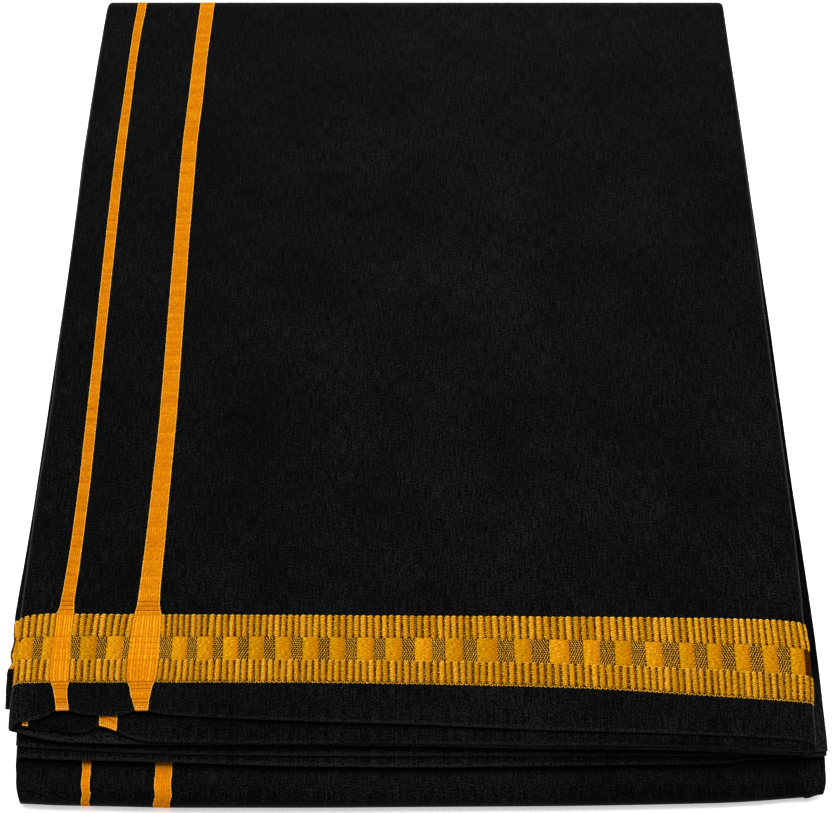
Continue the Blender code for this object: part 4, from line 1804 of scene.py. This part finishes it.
@dataclass
class MiddleFold(Assembly):
    """The two soft lips of the middle fold."""

    # Each lip's layer, what it rests on, and the seed of its unevenness.
    lips: tuple[tuple[Layer, str, int], ...] = ((Layer.LOWER, "bottom_panel_cloth", 4),
                                                (Layer.UPPER, "middle_lower_cloth", 6))

    @staticmethod
    def wave(phase: float) -> Callable[[Array, Array], Array]:
        """A lip's slight rise and fall.

        Args:
            phase: what sets it apart from the other lip's.

        Returns:
            A function of x and of the distance from the lip's edge.
        """
        def rise(x: Array, back: Array) -> Array:
            """How far the lip stands off its even height; a little way back from its edge, nothing."""
            soft = 1 - soft_step(back, 0, 30 * MM)
            return soft * MM * (0.10 * np.sin(x / 0.031 + phase) + 0.06 * np.sin(x / 0.0117 + 2 * phase))
        return rise

    def build(self) -> list[Object]:
        """Build both lips, the lower one first.

        Returns:
            The pieces.
        """
        shape = self.shape
        pieces = []
        height = shape.height / 2 + shape.gap
        for layer, below, seed in self.lips:
            wall = Wall(plies=2, groove=0.5, ragged=0.22 * MM, seed=seed)
            stack = PlyStack(shape, layer, layer.value + "_cloth", wall, 110)
            piece = stack.flat_layer(height, height + shape.solid_wall, layer.value,
                                     shape.far_bend_y + 3 * MM, self.wave(seed * 1.3))
            # The lips wear the shaded copy of the black: painted shade, deepest towards the right.
            piece.data.materials.append(self.wardrobe.shaded)
            pieces += lay_sheet(piece, layer=layer)
            height += shape.solid_wall + shape.gap
        return pieces


@dataclass
class SecondEnd(Assembly):
    """The cloth's second end: its border and stripes show where it peeks out on the left."""

    own_loom: Loom = field(default_factory=lambda: Loom(
        drift=millimetres((-230, 1, 1, 1, 1), (230, 0, 0, 0, 0)),
        border_far=millimetres((-162, -151.6), (162, -152.0)),
        border_near=millimetres((-162, -174.0), (162, -176.0))))
    border_u: Pair = (-9.3 * MM, 34 * MM)
    heart_inset: float = 0.55 * MM
    heart_share: float = 0.9915

    def build(self) -> list[Object]:
        """Build the ply, its border and stripes, and the plies inside its fold.

        Returns:
            The pieces.
        """
        shape, gap, dyes, loom = self.shape, self.shape.gap, self.wardrobe, self.own_loom
        top = shape.height - shape.fold_depth - gap
        depth = top - (shape.height / 2 + 3 * gap + 2 * shape.solid_wall)
        panel = FoldedPanel(shape, loom, Layer.SECOND, top, depth, "second_end", ply=0.5 * MM,
                            hook_turn=math.radians(80), wraps_far_end=False)
        cloth, face = panel.build("second_end")
        # The ply wears the shaded copy of the black: painted shade.
        dyes.dress(cloth, dyes.shaded)
        random = np.random.default_rng(21)
        border = GoldBorder(loom, random, self.border_u[1], start=self.border_u[0])
        pieces = [self.pads.lay(border.cord_charts()[0], border.cord, face, dyes.gold, "second_cords"),
                  self.pads.lay(border.cell_charts()[0], border.satin, face, dyes.satin, "second_satin")]
        stripes = StripeWeave(loom, self.pads, face, random)
        spans = ((0.2 * MM, float(panel.woven[-1, 0, 1]) - 1 * MM),)
        for number, stripe in enumerate(loom.stripes):
            pieces += stripes.lay(stripe, spans, (dyes.orange, dyes.edging), f"second_{number}")
        weave = join_pieces("second_end_border", pieces)
        face.remove()
        wall = Wall(plies=2, groove=0.8, ragged=0.2 * MM, seed=8)
        heart = PlyStack(shape, Layer.SECOND, "second_end_heart", wall).flat_layer(
            top - depth + self.heart_inset, top - self.heart_inset, "second_end", shape.far_bend_y)
        heart.data.transform(Matrix.Diagonal((self.heart_share, 1.0, 1.0, 1.0)))
        # The plies inside its fold wear the shaded copy of the black too: painted shade.
        dyes.dress(heart, dyes.shaded)
        return [*lay_sheet(cloth, (weave,),
                           Layer.SECOND),
                *lay_sheet(heart)]


@dataclass
class InnerPlies(Assembly):
    """The two plies inside the top panel's side fold; their stripes peek out near the left."""

    left_depth: float = 2.9 * MM
    right_depth: float = 4.4 * MM
    step_x: float = -84.4 * MM
    start_depth: float = 0.95 * MM
    arch_x: float = -122.3 * MM
    arch_width: float = 4.6 * MM
    arch_height: float = 0.5 * MM
    stripes: tuple[Pair, ...] = ((-155.8 * MM, -153.9 * MM), (-125.3 * MM, -118.6 * MM))
    wall: Wall = Wall(plies=4, groove=1.0, ragged=0.35 * MM, seed=3)

    def build(self) -> list[Object]:
        """Build the plies from their near edge round the far end, with the ribs of their stripes.

        Returns:
            The plies and the ribs.
        """
        shape = self.shape
        stack = PlyStack(shape, Layer.INNER, "inner_plies_cloth", self.wall, 120, self.stripes)
        xs = stack.xs(0.9 * MM)
        start = np.full_like(xs, self.start_depth)
        lower = np.where(xs < self.step_x, self.left_depth, self.right_depth)
        near = shape.near_edge("inner_plies", xs, Layer.INNER) + (lower - start) / 2 / self.wall.plies
        arch = self.arch_height * bell(xs, self.arch_x, self.arch_width)
        sag = 1.0 * MM - 0.65 * MM * soft_step(xs, 20 * MM, 70 * MM)
        sag += 0.6 * MM * soft_step(xs, -84 * MM, -70 * MM) * (1 - soft_step(xs, -25 * MM, 30 * MM))
        rows = [(share, 0.0) for share in stations((0.0, 0.08, 1.0), (11, 35))]
        rows += [(1.0, turn) for turn in np.linspace(0, math.pi, 19)[1:]]
        outer, inner = [], []
        for share, turn in rows:
            y = near + (shape.far_bend_y - near) * share
            flat = 0.0 if turn else 1.0
            rise = flat * arch * (1 - soft_step(y - near, 0, 18 * MM))
            dip = flat * sag * (1 - soft_step(y - near, 3 * MM, 24 * MM))
            for grid, depth, sink in ((outer, start, dip), (inner, lower, 0.0)):
                along, z = shape.far_path(depth, turn, y)
                grid.append(np.stack((xs, along, z + rise - sink), -1))
        cloth = stack.finish(outer, inner)
        self.wardrobe.dress(cloth, self.wardrobe.black)
        upper, _, woven = stack.grids(outer, inner)
        face = LoomFace("inner_plies_face", upper, woven)
        weave = StripeWeave(self.loom, self.pads, face, np.random.default_rng(17), row=1.75 * MM)
        ribs = self.ribs(weave, ("inner_stripe_ribs", "inner"), self.stripes, (0.1 * MM, 20 * MM),
                         self.wardrobe.orange)
        return lay_sheet(cloth, (ribs,), Layer.INNER)


@dataclass
class TopPanel(Assembly):
    """The cloth's first end: its outer ply, with the stripes and the border woven on it."""

    seed: int = 5
    stripe_lights: Pair = (0.28, 0.45)

    def build(self) -> list[Object]:
        """Build the ply, its stripes and its border.

        Returns:
            The ply and the pieces on it.
        """
        shape = self.shape
        panel = FoldedPanel(shape, self.loom, Layer.TOP, shape.height, shape.fold_depth, "top_ply")
        cloth, face = panel.build("top_panel")
        self.wardrobe.dress(cloth, self.wardrobe.black)
        stripes = self._stripes(face, float(panel.woven[-1, 0, 1]) - 1 * MM)
        border = self._border(face, float(panel.woven[0, -1, 0]) - 0.3 * MM)
        face.remove()
        return lay_sheet(cloth, (stripes, border),
                         Layer.TOP)

    def _stripes(self, face: LoomFace, end: float) -> Object:
        """Lay the ribs of both stripes.

        Args:
            face: the face that carries them.
            end: the last v that they reach.

        Returns:
            The joined piece.
        """
        random, dyes = np.random.default_rng(self.seed), self.wardrobe
        near, far = self.loom.border
        pieces = []
        for number, (stripe, light) in enumerate(zip(self.loom.stripes, self.stripe_lights)):
            weave = StripeWeave(self.loom, self.pads, face, random, light)
            pieces += weave.lay(stripe, ((0.15 * MM, near), (far, end)), (dyes.orange, dyes.edging),
                                f"stripe_{number}")
            pieces.append(weave.crossing(stripe, f"crossing_{number}", dyes.crossing))
        return join_pieces("top_stripe_ribs", pieces)

    def _border(self, face: LoomFace, end: float) -> Object:
        """Lay the cords, cells and edge stitches of the border.

        Args:
            face: the face that carries them.
            end: the last u that they reach.

        Returns:
            The joined piece.
        """
        border, dyes = GoldBorder(self.loom, np.random.default_rng(self.seed + 1), end), self.wardrobe
        satins, floats = border.cell_charts()
        cords, rungs = border.cord_charts()
        laid = ((cords, border.cord, dyes.gold, "border_cords"),
                (rungs, border.rung, dyes.pale, "border_rungs"),
                (satins, border.satin, dyes.satin, "border_satin"),
                (floats, border.float_, dyes.pale, "border_floats"),
                (border.stitch_chart(), border.stitch, dyes.pale, "border_stitches"))
        return join_pieces("gold_border", [self.pads.lay(chart, pad, face, thread, name)
                                           for chart, pad, thread, name in laid])


@dataclass
class Studio:
    """The floor, the soft lights and the camera."""

    focal: float = 85.787
    sensor: float = 36.0
    eye: tuple[float, float, float] = (0.0, -0.57955, 0.69191)
    tilt: float = math.radians(38.5)
    surround: float = 0.33
    floor_half: float = 9.0
    wall_y: float = 1.6
    wall_curve: float = 0.8
    # Each light's name, place, size and power.
    lights: tuple[tuple[str, tuple[float, float, float], float, float], ...] = (
        ("overhead_softbox", (0.0, 0.25, 1.7), 1.5, 41.2),
        ("left_softbox", (-1.3, 0.2, 1.1), 1.1, 4.0),
        ("right_softbox", (1.3, 0.2, 1.1), 1.1, 4.0))

    def build(self) -> None:
        """Set up the whole studio."""
        self._floor()
        self._lights()
        self._camera()

    def _floor(self) -> None:
        """A wide pale floor that curves up far behind the cloth."""
        mesh = bpy.data.meshes.new("studio_floor")
        start, curve, half = self.wall_y, self.wall_curve, self.floor_half
        profile = [(-half, 0.0), (start, 0.0)]
        profile += [(start + curve * math.sin(a), curve - curve * math.cos(a))
                    for a in np.linspace(0, math.pi / 2, 13)[1:]]
        profile.append((2.4, 5.0))
        places = [(x, y, z - 0.00005) for y, z in profile for x in (-half, half)]
        faces = [(2 * k, 2 * k + 1, 2 * k + 3, 2 * k + 2) for k in range(len(profile) - 1)]
        mesh.from_pydata(places, [], faces)
        mesh.shade_smooth()
        mesh.materials.append(StudioFloor().material())
        linked("studio_floor", mesh)

    def _lights(self) -> None:
        """Soft light from above and from both sides, and an even pale surround."""
        for name, place, size, power in self.lights:
            data = bpy.data.lights.new(name, "AREA")
            data.shape = "SQUARE"
            data.size = size
            data.energy = power
            lamp = linked(name, data)
            lamp.location = place
            lamp.rotation_euler = (Vector((0, 0, 0)) - Vector(place)).to_track_quat("-Z", "Y").to_euler()
        world = bpy.data.worlds.new("pale_surround")
        world.use_nodes = True
        background = world.node_tree.nodes["Background"]
        background.inputs[0].default_value = (1.0, 1.0, 1.0, 1.0)
        background.inputs[1].default_value = self.surround
        bpy.context.scene.world = world
        bpy.context.scene.view_settings.view_transform = "Standard"

    def _camera(self) -> None:
        """The camera looks down on the cloth from in front of its near edge."""
        data = bpy.data.cameras.new("camera")
        data.lens = self.focal
        data.sensor_width = self.sensor
        data.sensor_fit = "HORIZONTAL"
        data.clip_start = 0.01
        camera = linked("camera", data)
        camera.location = self.eye
        camera.rotation_euler = (self.tilt, 0.0, 0.0)
        bpy.context.scene.camera = camera


def main() -> None:
    """Dress the stack, then set up the studio."""
    logging.basicConfig(level=logging.INFO, format="%(message)s")
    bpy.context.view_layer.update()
    kit = (StackShape(), Loom(), Wardrobe(), PadTree())
    for assembly in (BottomPanel, Core, MiddleFold, SecondEnd, InnerPlies, TopPanel):
        for piece in assembly(*kit).build():
            LOG.info("%s: %d faces", piece.name, len(piece.data.polygons))
    Studio().build()


if __name__ == "__main__":
    main()
